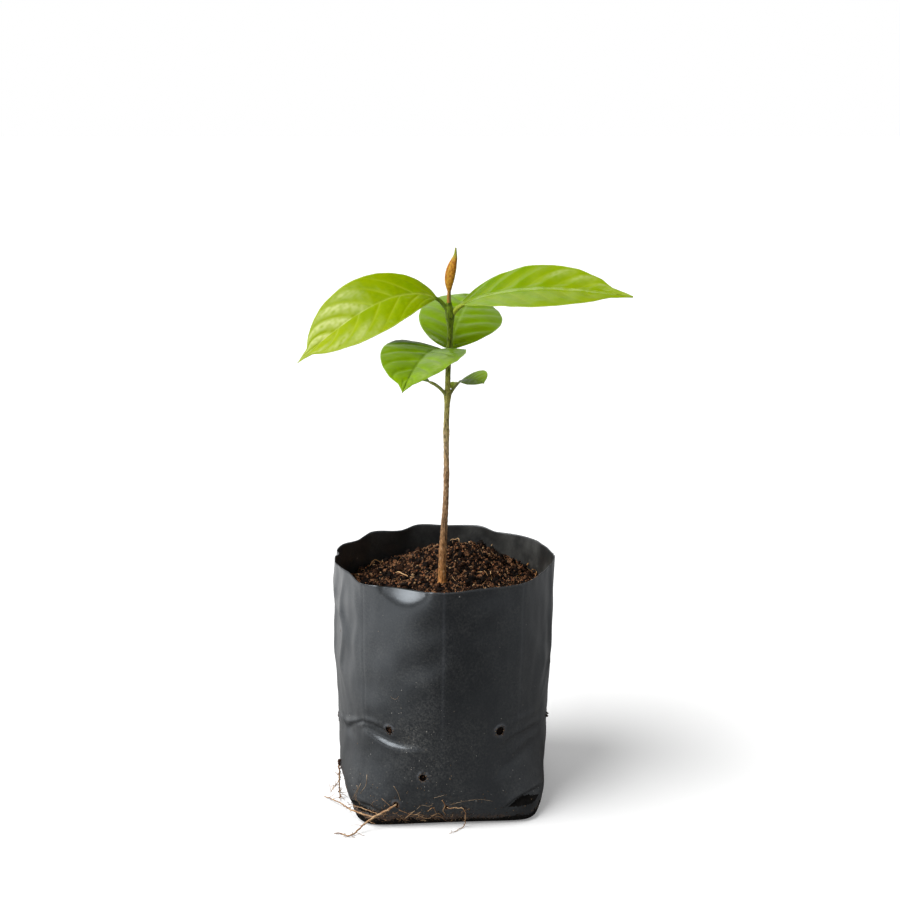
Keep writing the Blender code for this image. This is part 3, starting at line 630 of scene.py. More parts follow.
def tubes(routes, radii, sides):
    """Closed round tubes along routes (strand, station, xyz): rings square to each route, whose first
    side is carried along it without twisting. Returns the points and the faces."""
    routes = np.asarray(routes, float)
    strands, stations = routes.shape[:2]
    along = np.gradient(routes, axis=1)
    along /= np.linalg.norm(along, axis=2)[:, :, None]
    turn = np.arange(sides) * 2 * math.pi / sides
    side = np.cross(along[:, 0], (0.31, 0.52, 0.79))
    rings = np.empty((strands, stations, sides, 3))
    for station in range(stations):
        way = along[:, station]
        side = side - way * (side * way).sum(axis=1)[:, None]
        side /= np.linalg.norm(side, axis=1)[:, None]
        up = np.cross(way, side)
        spoke = np.cos(turn)[:, None] * side[:, None] + np.sin(turn)[:, None] * up[:, None]
        rings[:, station] = routes[:, station, None] + spoke * np.asarray(radii)[:, station, None, None]
    one = grid_faces(stations, sides)
    first = np.arange(strands)[:, None, None] * stations * sides
    faces = (one[None] + first).reshape(-1, 4).tolist()
    start_caps = np.arange(sides)[::-1] + first[:, :, 0]
    end_caps = np.arange(sides) + (stations - 1) * sides + first[:, :, 0]
    return rings.reshape(-1, 3), faces + start_caps.tolist() + end_caps.tolist()


FIBRE_STATIONS = 12


def fibre_routes(starts, headings, lengths, bends, lifts):
    """Strands that lie on the soil: the heading turns evenly by the bend from end to end, and the strand
    follows the soil's height, arched up by half a sine of its lift."""
    share = np.linspace(0, 1, FIBRE_STATIONS)
    heading = np.radians(headings[:, None] + bends[:, None] * share)
    step = lengths[:, None] / (len(share) - 1)
    x = starts[:, :1] + np.cumsum(np.cos(heading) * step, axis=1)
    y = starts[:, 1:] + np.cumsum(np.sin(heading) * step, axis=1)
    z = soil_height(x, y) + 0.45 + lifts[:, None] * np.sin(math.pi * share)
    return np.stack([x, y, z], axis=2)


FIBRE_COUNT = 70
fibre_dice = np.random.default_rng(5)
fibre_far = 42 * np.sqrt(fibre_dice.uniform(0, 1, FIBRE_COUNT))
fibre_turn = fibre_dice.uniform(0, 2 * math.pi, FIBRE_COUNT)
loose = fibre_routes(
    np.stack([fibre_far * np.cos(fibre_turn), fibre_far * np.sin(fibre_turn)], axis=1),
    np.degrees(fibre_turn) + fibre_dice.uniform(90, 270, FIBRE_COUNT),
    fibre_dice.uniform(2.5, 11, FIBRE_COUNT),
    fibre_dice.uniform(-130, 130, FIBRE_COUNT),
    fibre_dice.uniform(0, 2.2, FIBRE_COUNT) ** 2 / 2,
)
PALE_FIBRES = np.array((  # the fibres that catch the eye: start x, y, heading, length, bend, lift, radius
    (-23.5, 16.5, -60, 13, 40, 0.9, 0.28), (2.6, 8.5, -72, 9, -10, 0.3, 0.2),
    (20.5, 15.5, -95, 9, 12, 0.3, 0.2), (38.5, 34, -80, 9, -60, 1.6, 0.35), (36, 24, -40, 6, 80, 1.0, 0.2),
    (1.0, 40, 10, 9, -120, 2.2, 0.16), (20.5, 40, 60, 9, 30, 5.0, 0.12), (11.5, 13.5, -25, 9, -25, 0.4, 0.2),
    (-36, 30, 20, 9, 30, 1.5, 0.18),
    (40, 16, 60, 8, 40, 0.8, 0.25), (26, -8, 10, 8, 60, 0.7, 0.18), (-12, -18, 30, 11, -50, 0.6, 0.2),
))
pale = fibre_routes(PALE_FIBRES[:, :2], *PALE_FIBRES[:, 2:6].T)
tip_taper = 1 - 0.6 * np.linspace(-1, 1, FIBRE_STATIONS) ** 2


def fibre_material(name, dark, pale):
    """Coir: coarse husk fibre, tan and slightly glossy, mottled dark and pale in patches."""
    made, add, shader, place = new_material(name)
    tone, _ = mottled(add, place, 3.5, 3, 0.5, 0.38, 0.62, dark, pale)
    feed(shader, Base_Color=tone, Roughness=0.6)
    return made


loose_radii = 0.13 * tip_taper * np.linspace(0.6, 1.4, FIBRE_COUNT)[:, None]
for name, routes, radii, sides, finish, dark, light in (
    ("coir_fibres", loose, loose_radii, 5, "coir_fibre", "#4a2f1a", "#8a6238"),
    ("pale_fibres", pale, PALE_FIBRES[:, 6:] * tip_taper, 6, "pale_coir_fibre", "#a8743f", "#dcb280"),
):
    points, faces = tubes(routes, radii, sides)
    add_piece(name, points, faces, fibre_material(finish, dark, light), ["root_ball"])


# -- roots outside the bag ---------------------------------------------------------------------------
# Feeder roots that found the drain holes: thin, tan to orange, wiry and dry, with hairs and side roots.
# Crumbs of soil still cling to the one on the left. Finer ones have dried flat on the film near its foot.


def smooth_route(stations, count):
    """count points evenly spread along a Catmull-Rom curve through the stations."""
    knots = np.asarray(stations, float)
    padded = np.vstack([2 * knots[0] - knots[1], knots, 2 * knots[-1] - knots[-2]])
    place = np.linspace(0, len(knots) - 1, 40 * len(knots))
    span = np.minimum(place.astype(int), len(knots) - 2)
    t = (place - span)[:, None]
    before, start, end, after = (padded[span + step] for step in range(4))
    dense = 0.5 * (
        2 * start
        + (end - before) * t
        + (2 * before - 5 * start + 4 * end - after) * t**2
        + (3 * start - before - 3 * end + after) * t**3
    )
    run = np.append(0, np.cumsum(np.linalg.norm(np.diff(dense, axis=0), axis=1)))
    even = np.linspace(0, run[-1], count)
    return np.stack([np.interp(even, run, dense[:, axis]) for axis in range(dense.shape[1])], axis=1)


def root_tube(stations, thick, thin, count, seed):
    """A root through stations of (angle, height, distance from the film), knobbly, thinning to its end."""
    spots = np.array(stations, float)
    route = smooth_route(on_film(spots[:, 0], spots[:, 1], spots[:, 2]), count)
    route = route + np.stack([ripples(route, 2.4, seed + axis) for axis in range(3)], axis=1) * 0.14
    route[:, 2] = np.maximum(route[:, 2], 0.35)
    share = np.linspace(0, 1, count)
    knobs = 1 + 0.16 * ripples(route, 1.1, seed + 7)
    return route, (thick + (thin - thick) * share) * (1 - 0.5 * np.exp(-share / 0.1)) * knobs


def root_hairs(route, count, reach, seed):
    """Side roots: short curved strands that leave the route at random places and droop as they go."""
    dice = np.random.default_rng(seed)
    start = route[dice.integers(1, len(route) - 1, count)]
    way = dice.normal(size=(count, 3))
    way /= np.linalg.norm(way, axis=1)[:, None]
    curl = dice.normal(size=(count, 3)) * 0.5
    share = np.linspace(0, 1, 8)[None, :, None]
    length = (reach * dice.uniform(0.3, 1, count))[:, None, None]
    hairs = start[:, None] + length * (way[:, None] * share + curl[:, None] * share**2)
    hairs[:, :, 2] = np.maximum(hairs[:, :, 2], 0.3)
    return hairs


def joined(parts):
    """Several (points, faces) as one."""
    points = [part[0] for part in parts]
    first = np.cumsum([0] + [len(block) for block in points[:-1]])
    faces = [
        [int(corner + shift) for corner in face] for (_, block), shift in zip(parts, first) for face in block
    ]
    return np.vstack(points), faces


INSIDE = -0.7
ROOTS = {
    "root_corner": (
        (((-114, 11.5, INSIDE), (-114.3, 11.3, 0.9), (-118.5, 8.8, 1.5), (-123.5, 5.9, 2.8),
          (-126.7, 2.6, 7.3), (-127.5, 0.9, 11.2), (-128, 0.8, 14.0), (-131.8, 0.7, 14.0),
          (-133.3, 0.6, 16.5)), 0.55, 0.25, 90),
        (((-123.5, 5.9, 2.8), (-131, 6.2, 2.6), (-141, 4.7, 3.2), (-149, 3.1, 5.4), (-157, 1.8, 10.2),
          (-164.7, 0.6, 15.8)), 0.45, 0.2, 70),
        (((-121.5, 7.0, 2.2), (-128, 8.3, 2.4), (-134, 8.0, 2.2), (-140, 6.6, 3.0)), 0.22, 0.12, 30),
    ),
    "root_side": (
        (((-163, 15.3, INSIDE), (-162.7, 15.0, 1.0), (-162, 12.3, 1.4), (-162, 8.4, 3.2), (-161.8, 3.8, 6.0),
          (-161, 0.7, 8.3)), 0.42, 0.3, 50),
        (((-162, 8.9, 3.0), (-158, 8.0, 5.5), (-155, 6.6, 8.6)), 0.22, 0.12, 20),
    ),
    "root_front": (
        (((-88, 10.2, INSIDE), (-87, 10.4, 0.8), (-82.7, 10.4, 0.9), (-79.6, 10.0, 1.0), (-78.3, 7.7, 1.2),
          (-78.3, 3.3, 2.5), (-79.2, 0.7, 3.8), (-84.2, 0.5, 8.2), (-87.8, 0.5, 10.0)), 0.24, 0.14, 60),
    ),
}
ROOT_HAIRS = {"root_corner": (16, 4.0), "root_side": (16, 3.2), "root_front": (5, 2.5)}
DRIED_ROOTS = (  # thin ones stuck to the film: stations of (angle, height), radius
    (((-110.7, 4.7), (-105.2, 8.7)), 0.16),
    (((-113, 9), (-106, 6.5), (-102, 8.2)), 0.14),
    (((-90.0, 14.1), (-88.7, 11.4), (-90.1, 8.5), (-88.7, 5.9)), 0.22),
    (((-98.3, 8.5), (-95.3, 10.3), (-94.1, 7.2)), 0.18),
    (((-97, 5.5), (-93, 6.8), (-91, 5.0)), 0.16),
    (((-104, 6.2), (-99, 4.2), (-95, 5.8), (-90, 3.6)), 0.14),
)
DRIED_HAIRS = (
    (((-131.7, 21.4), (-131.0, 17.2), (-133.2, 13.4)), 0.12),
    (((-137, 15.5), (-135.7, 14.5), (-138.1, 9.5)), 0.12),
    (((-134.5, 17), (-135.5, 12), (-133.5, 9)), 0.09),
    (((-115.3, 19.5), (-112.8, 16.7), (-111.7, 13.2)), 0.13),
    (((-86.0, 11.5), (-79.2, 13.1), (-70.7, 13.9), (-63.6, 12.5)), 0.08),
    (((-94.1, 15.1), (-90.4, 16.1), (-87.3, 16.6)), 0.07),
    (((-117.1, 60.0), (-116.2, 59.3), (-114.8, 59.0), (-113.4, 59.6), (-112.6, 60.7)), 0.06),
    (((-104, 9.5), (-101, 11.5), (-97, 11.0), (-95, 12.6)), 0.09),
)
STUCK_FIBRES = 42
STUCK_STATIONS = 16

# Root bark: a thin dry cork, tan with orange and brown stretches, matt, ridged along its length
root_bark, add, shader, place = new_material("root_bark")
tone, stretch = mottled(add, place, 2.2, 4, 0.6, 0.38, 0.64, "#8a5f3a", "#c6a47c")
dirt = add("TexNoise", Vector=place, Scale=1000 / 0.9, Detail=2)
dirt = add("MapRange", dirt, 0.58, 0.7, 0, 0.7)
tone = add("Mix", Factor=dirt, A=tone, B="#553a26", data_type="RGBA")
bump = add("Bump", Height=stretch, Strength=0.6, Distance=0.0002)
feed(shader, Base_Color=tone, Roughness=0.7, Normal=bump)

for number, (name, strands) in enumerate(ROOTS.items()):
    parts = []
    hair_count, hair_reach = ROOT_HAIRS[name]
    for strand, (stations, thick, thin, count) in enumerate(strands):
        route, radii = root_tube(stations, thick, thin, count, seed=40 + 10 * number + strand)
        parts.append(tubes(route[None], radii[None], 8))
        side_count = max(hair_count // (strand + 1), 2)
        hairs = root_hairs(route[5:], side_count, hair_reach, seed=90 + number + strand)
        hair_radii = np.broadcast_to(np.linspace(0.13, 0.07, hairs.shape[1]), hairs.shape[:2])
        parts.append(tubes(hairs, hair_radii, 5))
    points, faces = joined(parts)
    add_piece(name.replace("root", "roots"), points, faces, root_bark, [name])


def stuck_on_film(strands):
    """Strands that lie on the film, half sunk in its dust."""
    routes = []
    for stations, radius in strands:
        spots = smooth_route(stations, STUCK_STATIONS)
        spots[:, 1] = np.maximum(spots[:, 1], 0.4)
        routes.append(on_film(spots[:, 0], spots[:, 1], radius * 0.6))
    radii = np.array([radius for _, radius in strands])[:, None] * np.linspace(1, 0.6, STUCK_STATIONS)
    return tubes(np.array(routes), radii, 6)


fleck_dice = np.random.default_rng(17)
fibre_spots = []
for _ in range(STUCK_FIBRES):
    spot = np.array((fleck_dice.normal(-108, 22), 1.5 + fleck_dice.exponential(4.5)))
    step = fleck_dice.normal(size=2) * (1.6, 0.9)
    bend = fleck_dice.normal(size=2) * 0.9
    fibre_spots.append(((spot, spot + step + bend, spot + 2 * step), fleck_dice.uniform(0.05, 0.12)))
points, faces = stuck_on_film(DRIED_ROOTS + tuple(fibre_spots))
add_piece("roots_dried_on_film", points, faces, root_bark)
hair_skin = fibre_material("dry_root_hair", "#6b5640", "#b39c80")
points, faces = stuck_on_film(DRIED_HAIRS)
add_piece("hairs_dried_on_film", points, faces, hair_skin)

# A thin near-black shell along the foot and in the corner pockets: painted shade where the film curls under
# and where the pockets lie in shadow
FOOT_SHADE_HEIGHT = 4.4
SHADE_SHELL_THICKNESS = 0.2
FOOT_GRAIN, POCKET_GRAIN = 0.11, 0.035
POCKET_STATIONS = 110
MM_PER_DEGREE_AT_FOOT = 0.85
EDGE_WANDER = 0.3
SHADE_SHELLS = (  # stations of (angle, lower edge, upper edge) round each pocket
    ((-55.5, 8.5, 8.8), (-52.5, 8.1, 10.4), (-50, 7.8, 11.5), (-47.4, 7.5, 12.0), (-44.4, 7.1, 11.7),
     (-41, 7.0, 10.8), (-38, 7.4, 9.8), (-35, 8.3, 8.7)),
    ((-147, 7.6, 7.8), (-142, 6.2, 8.2), (-136, 5.6, 8.6), (-130, 5.6, 8.2), (-125, 5.8, 7.2),
     (-121, 6.3, 6.5)),
)


def shade_shell(angle, low, high, grain):
    """A thin closed shell on the film between two edges: half a sine thick, with a grainy outside."""
    share = np.linspace(0, 1, 9)
    height = low[:, None] + (high - low)[:, None] * share
    unrolled = np.stack([angle[:, None] * MM_PER_DEGREE_AT_FOOT + 0 * height, height], axis=-1)
    rough = grain * ripples(unrolled, 0.8, seed=77)
    outside = on_film(angle[:, None], height, -0.06 + SHADE_SHELL_THICKNESS * np.sin(math.pi * share) + rough)
    inside = on_film(angle[:, None], height[:, ::-1], -0.2)
    rings = np.concatenate([outside, inside], axis=1)
    return rings.reshape(-1, 3), [face[::-1] for face in tube_faces(*rings.shape[:2])]


turn = np.arange(-180, 180.5, 0.8)
ragged = FOOT_SHADE_HEIGHT + 0.8 * ripples(np.stack([turn, 0 * turn], axis=-1), 5, seed=78)
parts = [shade_shell(turn, 0 * turn + 0.06, np.maximum(ragged, 0.6), FOOT_GRAIN)]
for stations in SHADE_SHELLS:
    angle, low, high = smooth_route(stations, POCKET_STATIONS).T
    wander = ripples(np.stack([angle * MM_PER_DEGREE_AT_FOOT, low], axis=-1), 1.6, seed=79)
    wander = EDGE_WANDER * np.sin(np.linspace(0, math.pi, POCKET_STATIONS)) * wander
    parts.append(shade_shell(angle, low - wander, high + wander, POCKET_GRAIN))
points, faces = joined(parts)
shade_shell_loam = soil_material("painted_shade_loam", "#070606", "#1a1714", 1.4)
add_piece("painted_shade_shell", points, faces, shade_shell_loam, ["root_ball"])

# Crumbs that cling to the left root, plug some drain holes, stick out of the side holes and lie on the foot
CLING_COUNT = 26
cling_dice = np.random.default_rng(8)
side_route, _ = root_tube(ROOTS["root_side"][0][0], 0.4, 0.3, 50, seed=50)
cling_centres = [side_route[cling_dice.integers(3, len(side_route), CLING_COUNT)]]
cling_centres[0] = cling_centres[0] + cling_dice.normal(size=(CLING_COUNT, 3)) * 0.3
cling_sizes = [cling_dice.uniform(0.35, 0.8, CLING_COUNT)]
PLUGS = (  # angle, height, crumbs, spread, distance from the film, least and greatest size
    (-119, 43.8, 16, 0.8, -1.0, 0.6, 1.1), (-100, 24.6, 6, 0.8, -0.9, 0.5, 0.9),
    (-59, 43.4, 5, 0.9, -1.6, 0.6, 1.0), (-114, 11.5, 9, 0.9, -0.8, 0.6, 1.1),
    (-88, 10.2, 9, 0.8, -0.7, 0.5, 1.0), (-178, 34.5, 7, 0.55, 0.1, 0.9, 1.5),
    (-10, 36.9, 7, 0.6, 0.1, 0.8, 1.5), (-163, 16.5, 8, 0.7, 0.4, 0.9, 1.7),
    (-178, 31.5, 4, 0.6, 0.1, 0.4, 0.8),
)
for hole_angle, hole_height, count, spread, stand, least, most in PLUGS:
    off = cling_dice.normal(size=(3, count)) * spread
    spot_angle = hole_angle + off[0] / MM_PER_DEGREE
    cling_centres.append(on_film(spot_angle, hole_height + off[1], stand + 0.4 * off[2]))
    cling_sizes.append(cling_dice.uniform(least, most, count))
cling_centres = np.vstack(cling_centres)
cling_centres[:, 2] = np.maximum(cling_centres[:, 2], 0.7)
add_crumbs("clinging_crumbs", cling_centres, np.concatenate(cling_sizes), cling_dice, "#1a0f08", "#4a2f1c",
           finish="clinging_loam")
RIM_CRUMBS = 12  # round each of the front drain holes
for name, count, low_height, dark, pale in (
    ("foot_crumbs", 420, 3.2, "#22160e", "#523a26"), ("foot_grit", 260, 7.0, "#4c3c2e", "#8c7860"),
):
    spot_angle = np.where(fleck_dice.uniform(size=count) < 0.6, fleck_dice.normal(-106, 20, count),
                          fleck_dice.uniform(-180, 180, count))
    spot_height = 2.8 + fleck_dice.exponential(low_height, count)
    for number, (hole_angle, hole_height, hole_radius) in enumerate(HOLES[:3]):
        ring = slice(RIM_CRUMBS * number, RIM_CRUMBS * (number + 1))
        turn = fleck_dice.uniform(0, 2 * math.pi, RIM_CRUMBS)
        reach = hole_radius + fleck_dice.uniform(0, 0.9, RIM_CRUMBS)
        spot_angle[ring] = hole_angle + reach * np.cos(turn) / MM_PER_DEGREE
        spot_height[ring] = hole_height + reach * np.sin(turn)
    spots = on_film(spot_angle, spot_height, 0.02)
    add_crumbs(name, spots, fleck_dice.uniform(0.2, 0.6, count), fleck_dice, dark, pale, patch=1)


# -- the stem ---------------------------------------------------------------------------------------
# A seedling's stem: green and smooth above, where it is this season's growth, turning to a first thin
# orange-brown bark at the foot, with fine ridges, pale corky lenticels and swollen nodes.

STEM_ROUTE = (  # height, place along X
    (95.3, -1.4), (110, -1.05), (121, -0.4), (133, 0.3), (145, 0.62), (165, 0.56), (180, 1.1),
    (191, 1.35), (200, 1.9), (211, 2.25), (219.3, 1.75),
)
STEM_TIP_RADIUS = 1.16
STEM_FOOT_SWELL = 0.52
STEM_FOOT_HEIGHT = 124.0
STEM_FOOT_SPREAD = 6.0
ROOT_FLARE = 0.3
ROOT_FLARE_SPREAD = 3.0
KNOTS = (  # height, swelling, half its length
    (145, 0.14, 2.0), (163.5, 0.22, 2.6), (180, 0.5, 2.4), (199.5, 0.25, 2.4), (214.5, 0.85, 3.2),
)
LENTICELS = 110
SCARS = (  # angle, height, half-width
    (250, 163.6, 0.45), (266, 157.2, 0.4), (264, 149.4, 0.4), (258, 140.5, 0.42), (270, 131, 0.3),
)
STEM_SINK = 2.5  # the foot goes on below the soil's surface
STEM_SIDES = 56
STEM_RINGS = 620
WOOD_TOP, WOOD_FADE = 178, 9  # the bark fades out round this height
RIDGES, FINE_RIDGES = 0.035, 0.02
FLAKES = 0.05
LENTICEL_HALF_WIDTH = 0.2
PIT_DEPTH = 0.09
GRAIN_RADIUS = 1.3  # the bark's patterns are laid out round a stem this thick


def stem_centre(height):
    """The stem's centre line: X read at the height from a smooth curve through the route, Y nil."""
    route = smooth_route(STEM_ROUTE, 200)
    return np.stack([np.interp(height, route[:, 0], route[:, 1]), 0 * height, height], axis=-1)


def stem_radius(height):
    """A slender tip radius, a smooth step up at the old wood, the root flare, and a bell at each node."""
    old_wood = STEM_FOOT_SWELL / (1 + np.exp((height - STEM_FOOT_HEIGHT) / STEM_FOOT_SPREAD))
    flare = ROOT_FLARE * np.exp(-np.maximum(height - STEM_ROUTE[0][0], 0) / ROOT_FLARE_SPREAD)
    nodes = sum(swell * bell((height - knot) / half) for knot, swell, half in KNOTS)
    return STEM_TIP_RADIUS + old_wood + flare + nodes


stem_turn = np.arange(STEM_SIDES) * 2 * math.pi / STEM_SIDES
stem_heights = np.linspace(STEM_ROUTE[0][0] - STEM_SINK, STEM_ROUTE[-1][0] + 0.6, STEM_RINGS)
turn_grid, height_grid = np.meshgrid(stem_turn, stem_heights)
around = np.stack([np.cos(turn_grid), np.sin(turn_grid), 0 * turn_grid], axis=-1)
wood = 1 / (1 + np.exp((height_grid - WOOD_TOP) / WOOD_FADE))
waver = ripples(np.stack([height_grid, 0 * turn_grid], axis=-1), 24, seed=3)
ridges = RIDGES * wood * np.sin(11 * turn_grid + 2.5 * waver)
ridges = ridges + FINE_RIDGES * wood * np.sin(23 * turn_grid - 3 * waver)
skin = np.stack([GRAIN_RADIUS * around[..., 0], GRAIN_RADIUS * around[..., 1], height_grid], axis=-1)
flakes = FLAKES * wood * ripples(skin * (1, 1, 0.6), 1.3, seed=14, waves=30)
pits = np.zeros_like(height_grid)
stem_dice = np.random.default_rng(31)
for _ in range(LENTICELS):
    at_height = stem_dice.uniform(98, 196)
    at_turn = stem_dice.uniform(0, 2 * math.pi)
    long = stem_dice.uniform(0.25, 0.5)
    across = GRAIN_RADIUS * np.abs((turn_grid - at_turn + math.pi) % (2 * math.pi) - math.pi)
    pits = np.maximum(pits, bell(across / LENTICEL_HALF_WIDTH, (height_grid - at_height) / long))
for at_turn, at_height, wide in SCARS:
    across = 1.2 * np.abs((turn_grid - math.radians(at_turn) + math.pi) % (2 * math.pi) - math.pi)
    pits = np.maximum(pits, bell(across / wide, (height_grid - at_height) / wide / 1.2))
relief = ridges + flakes + PIT_DEPTH * pits
ring = stem_radius(height_grid) + relief
stem_points = stem_centre(height_grid) + ring[..., None] * around
stem_faces = tube_faces(STEM_RINGS, STEM_SIDES)

# Young bark: chlorophyll shows through the skin above, and cork cells make it buff and then orange-brown
# towards the foot. It is mottled in small upright flecks and only slightly glossy
bark, add, shader, place = new_material("young_bark")
axes = add("SeparateXYZ", place).outputs
tone = add("ValToRGB", add("MapRange", axes["Z"], 0.095, 0.22))
STEM_TONES = ((0.0, "#b47a44"), (0.1, "#9c7048"), (0.22, "#836548"), (0.32, "#987654"), (0.4, "#967452"),
              (0.5, "#a8926a"), (0.66, "#a09a50"), (0.8, "#66780a"), (1.0, "#566c04"))
while len(tone.color_ramp.elements) < len(STEM_TONES):
    tone.color_ramp.elements.new(0.5)
for stop, (at, code) in zip(tone.color_ramp.elements, STEM_TONES):
    stop.position = at
    stop.color = colour(code)
upright = add("Mapping", Vector=place, Scale=(1, 1, 0.35))
flecks = add("TexNoise", Vector=upright, Scale=1000 / 0.8, Detail=5, Roughness=0.7)
shade = add("MapRange", flecks, 0.37, 0.63, 0.36, 1.64)
tone = add("Mix", Factor=1, A=tone, B=shade, data_type="RGBA", blend_type="MULTIPLY")
cork = add("Attribute", attribute_name="lenticel").outputs["Fac"]
cork = add("Math", cork, 0.85, operation="MULTIPLY")
tone = add("Mix", Factor=cork, A=tone, B="#c7ab86", data_type="RGBA")
bump = add("Bump", Height=flecks, Strength=0.5, Distance=0.00015)
feed(shader, Base_Color=tone, Roughness=0.6, Specular_IOR_Level=0.2, Normal=bump)
add_piece("stem_bark", stem_points, stem_faces, bark, ["stem"], {"lenticel": pits})


# -- the leaves and their stalks --------------------------------------------------------------------
# Opposite pairs of glossy leaves, each pair square to the one below. A blade is a thin waxy sheet with a
# sunken midrib, side veins that sweep towards the tip, and a quilted skin between them, and it runs out
# into a drip tip. The newest pair is yellow-green and soft. The lowest leaves are small seed leaves.


def leaf(name, base, heading, rise, length, half_width, **shape):
    """A leaf's sizes and looks, with the usual ones filled in."""
    sizes = {
        "name": name, "base": np.array(base, float), "heading": heading, "rise": rise,
        "length": length, "half_width": half_width,
        "sweep": 0.0, "droop": 30.0, "ease": 0.45, "roll": 0.0, "twist": 0.0,
        "fold": 15.0, "arch": 12.0, "swell": 0.8, "taper": 0.8,
        "drip_length": 0.16, "drip_width": 0.2, "base_half_width": 0.75, "tip_half_width": 0.2,
        "thickness": 0.36, "grid": 0.42, "veins": 7, "vein_lag": 0.15, "quilt": 0.35,
        "quilt_sides": (1.0, 1.0), "furrow": 1.5, "rungs": 0.03, "margin_wave": 0.12, "seed": 1,
        "node_height": None, "petiole_foot": 1.0, "petiole_tip": 0.75, "petiole_bend": 0.5,
        "tones": ("#4f7d02", "#659204"), "vein_tone": "#8fae46", "vein_share": 0.25,
        "under_tone": "#86a14c", "stalk_tone": "#66703a", "gloss": 0.28, "wax": 0.2, "bloom": (0.0, 0.0),
        "slot": "old_leaf",
    }
    sizes.update(shape)
    return sizes


FRESH = {
    "tones": ("#6a8c00", "#859800"), "vein_tone": "#aebd4a", "vein_share": 0.5, "under_tone": "#98b03c",
    "slot": "fresh_leaf",
}
SMALL = {
    "thickness": 0.3, "grid": 0.25, "base_half_width": 0.45, "drip_length": 0.05, "petiole_foot": 0.75,
    "petiole_tip": 0.45, "veins": 6, "quilt": 0.12, "furrow": 0.5, "rungs": 0.02, "margin_wave": 0.05,
    "tones": ("#607e04", "#7a9812"), "vein_tone": "#8d9f50", "under_tone": "#869450",
    "stalk_tone": "#858a48", "gloss": 0.4, "wax": 0.2,
}
LEAVES = (
    leaf("leaf_upper_left", (-3.4, 0.2, 221.5), -160, 26, 68.5, 16.0, droop=66, ease=0.34, roll=-33.5,
         twist=-3, fold=11, swell=0.79, node_height=214.5, petiole_bend=0.35, petiole_foot=1.05,
         petiole_tip=0.8, veins=7, vein_lag=0.17, quilt=0.3, furrow=1.3, rungs=0.05, seed=1,
         stalk_tone="#566e08",
         **{**FRESH, "tones": ("#728c00", "#92a200"), "bloom": (0.25, 0.48), "wax": 0.1}),
    leaf("leaf_upper_right", (6.9, 0.0, 218.5), -8.5, 26, 73.5, 15.3, sweep=-10.5, droop=32, ease=0.44,
         roll=23.5, twist=3, fold=12.5, arch=11, swell=0.9, taper=0.88, node_height=214.0,
         petiole_bend=0.35, petiole_foot=1.4, petiole_tip=0.95, veins=7, vein_lag=0.13, quilt=1.0,
         quilt_sides=(1.0, 0.35), furrow=3.2, wax=0.3, seed=2, stalk_tone="#98a828", drip_length=0.2,
         drip_width=0.34, **{**FRESH, "bloom": (0.2, 0.0), "vein_share": 0.25}),
    leaf("leaf_middle_front", (-0.9, -4.4, 199.8), -109, 16.5, 62.0, 16.2, sweep=9, droop=33, ease=0.42,
         roll=-6, twist=5, fold=16.5, arch=13.5, swell=0.64, taper=0.75, drip_width=0.3,
         node_height=198.8, veins=6, quilt=0.65, furrow=1.2, rungs=0.03, seed=3,
         tones=("#4a6a00", "#7c9e00"), bloom=(0.12, 0.0), quilt_sides=(0.6, 1.0), wax=0.1),
    leaf("leaf_middle_back", (2.0, 3.6, 199.0), 79, 34, 64.5, 17.9, sweep=-1, droop=31, ease=0.66,
         roll=3, twist=12, fold=4.5, arch=17.5, swell=0.74, node_height=197.8, veins=7, vein_lag=0.1,
         quilt=0.75, furrow=1.7, seed=4, tones=("#688402", "#769c06")),
    leaf("leaf_lower_left", (-5.6, 0.1, 185.4), 138, 11, 18.0, 4.6, sweep=5, droop=16, roll=-4, swell=1.5,
         node_height=179.3, petiole_bend=0.55, seed=5, **{**SMALL, "petiole_tip": 0.7}),
    leaf("leaf_lower_right", (6.5, 0.0, 186.0), -57.5, 27, 20.0, 5.7, sweep=-5, droop=31, ease=0.54,
         roll=19, twist=8, fold=19, arch=11, swell=0.9, taper=0.56, node_height=179.3,
         petiole_bend=0.35, seed=6, **SMALL),
    leaf("leaf_lower_axil", (3.4, 2.4, 181.6), 80, 78, 5.8, 1.9, droop=75, ease=0.6, fold=10,
         swell=0.75, taper=0.4, seed=7,
         **{**SMALL, "base_half_width": 0.35, "tones": ("#9aab30", "#b0bd50")}),
)
CLEAR = 0.3


def leaf_outline(along, leaf):
    """Half-width, 0 to 1, along the midrib: a rounded blade that runs out into a narrow drip tip."""
    swell, taper, drip = leaf["swell"], leaf["taper"], leaf["drip_length"]
    widest = swell / (swell + taper)
    place = held(along / (1 - 0.6 * drip))
    blade = (place / widest) ** swell * ((1 - place) / (1 - widest)) ** taper
    tail = leaf["drip_width"] * held((1 - along) / drip) * held(3 * along)
    return np.sqrt(blade**2 + tail**2)


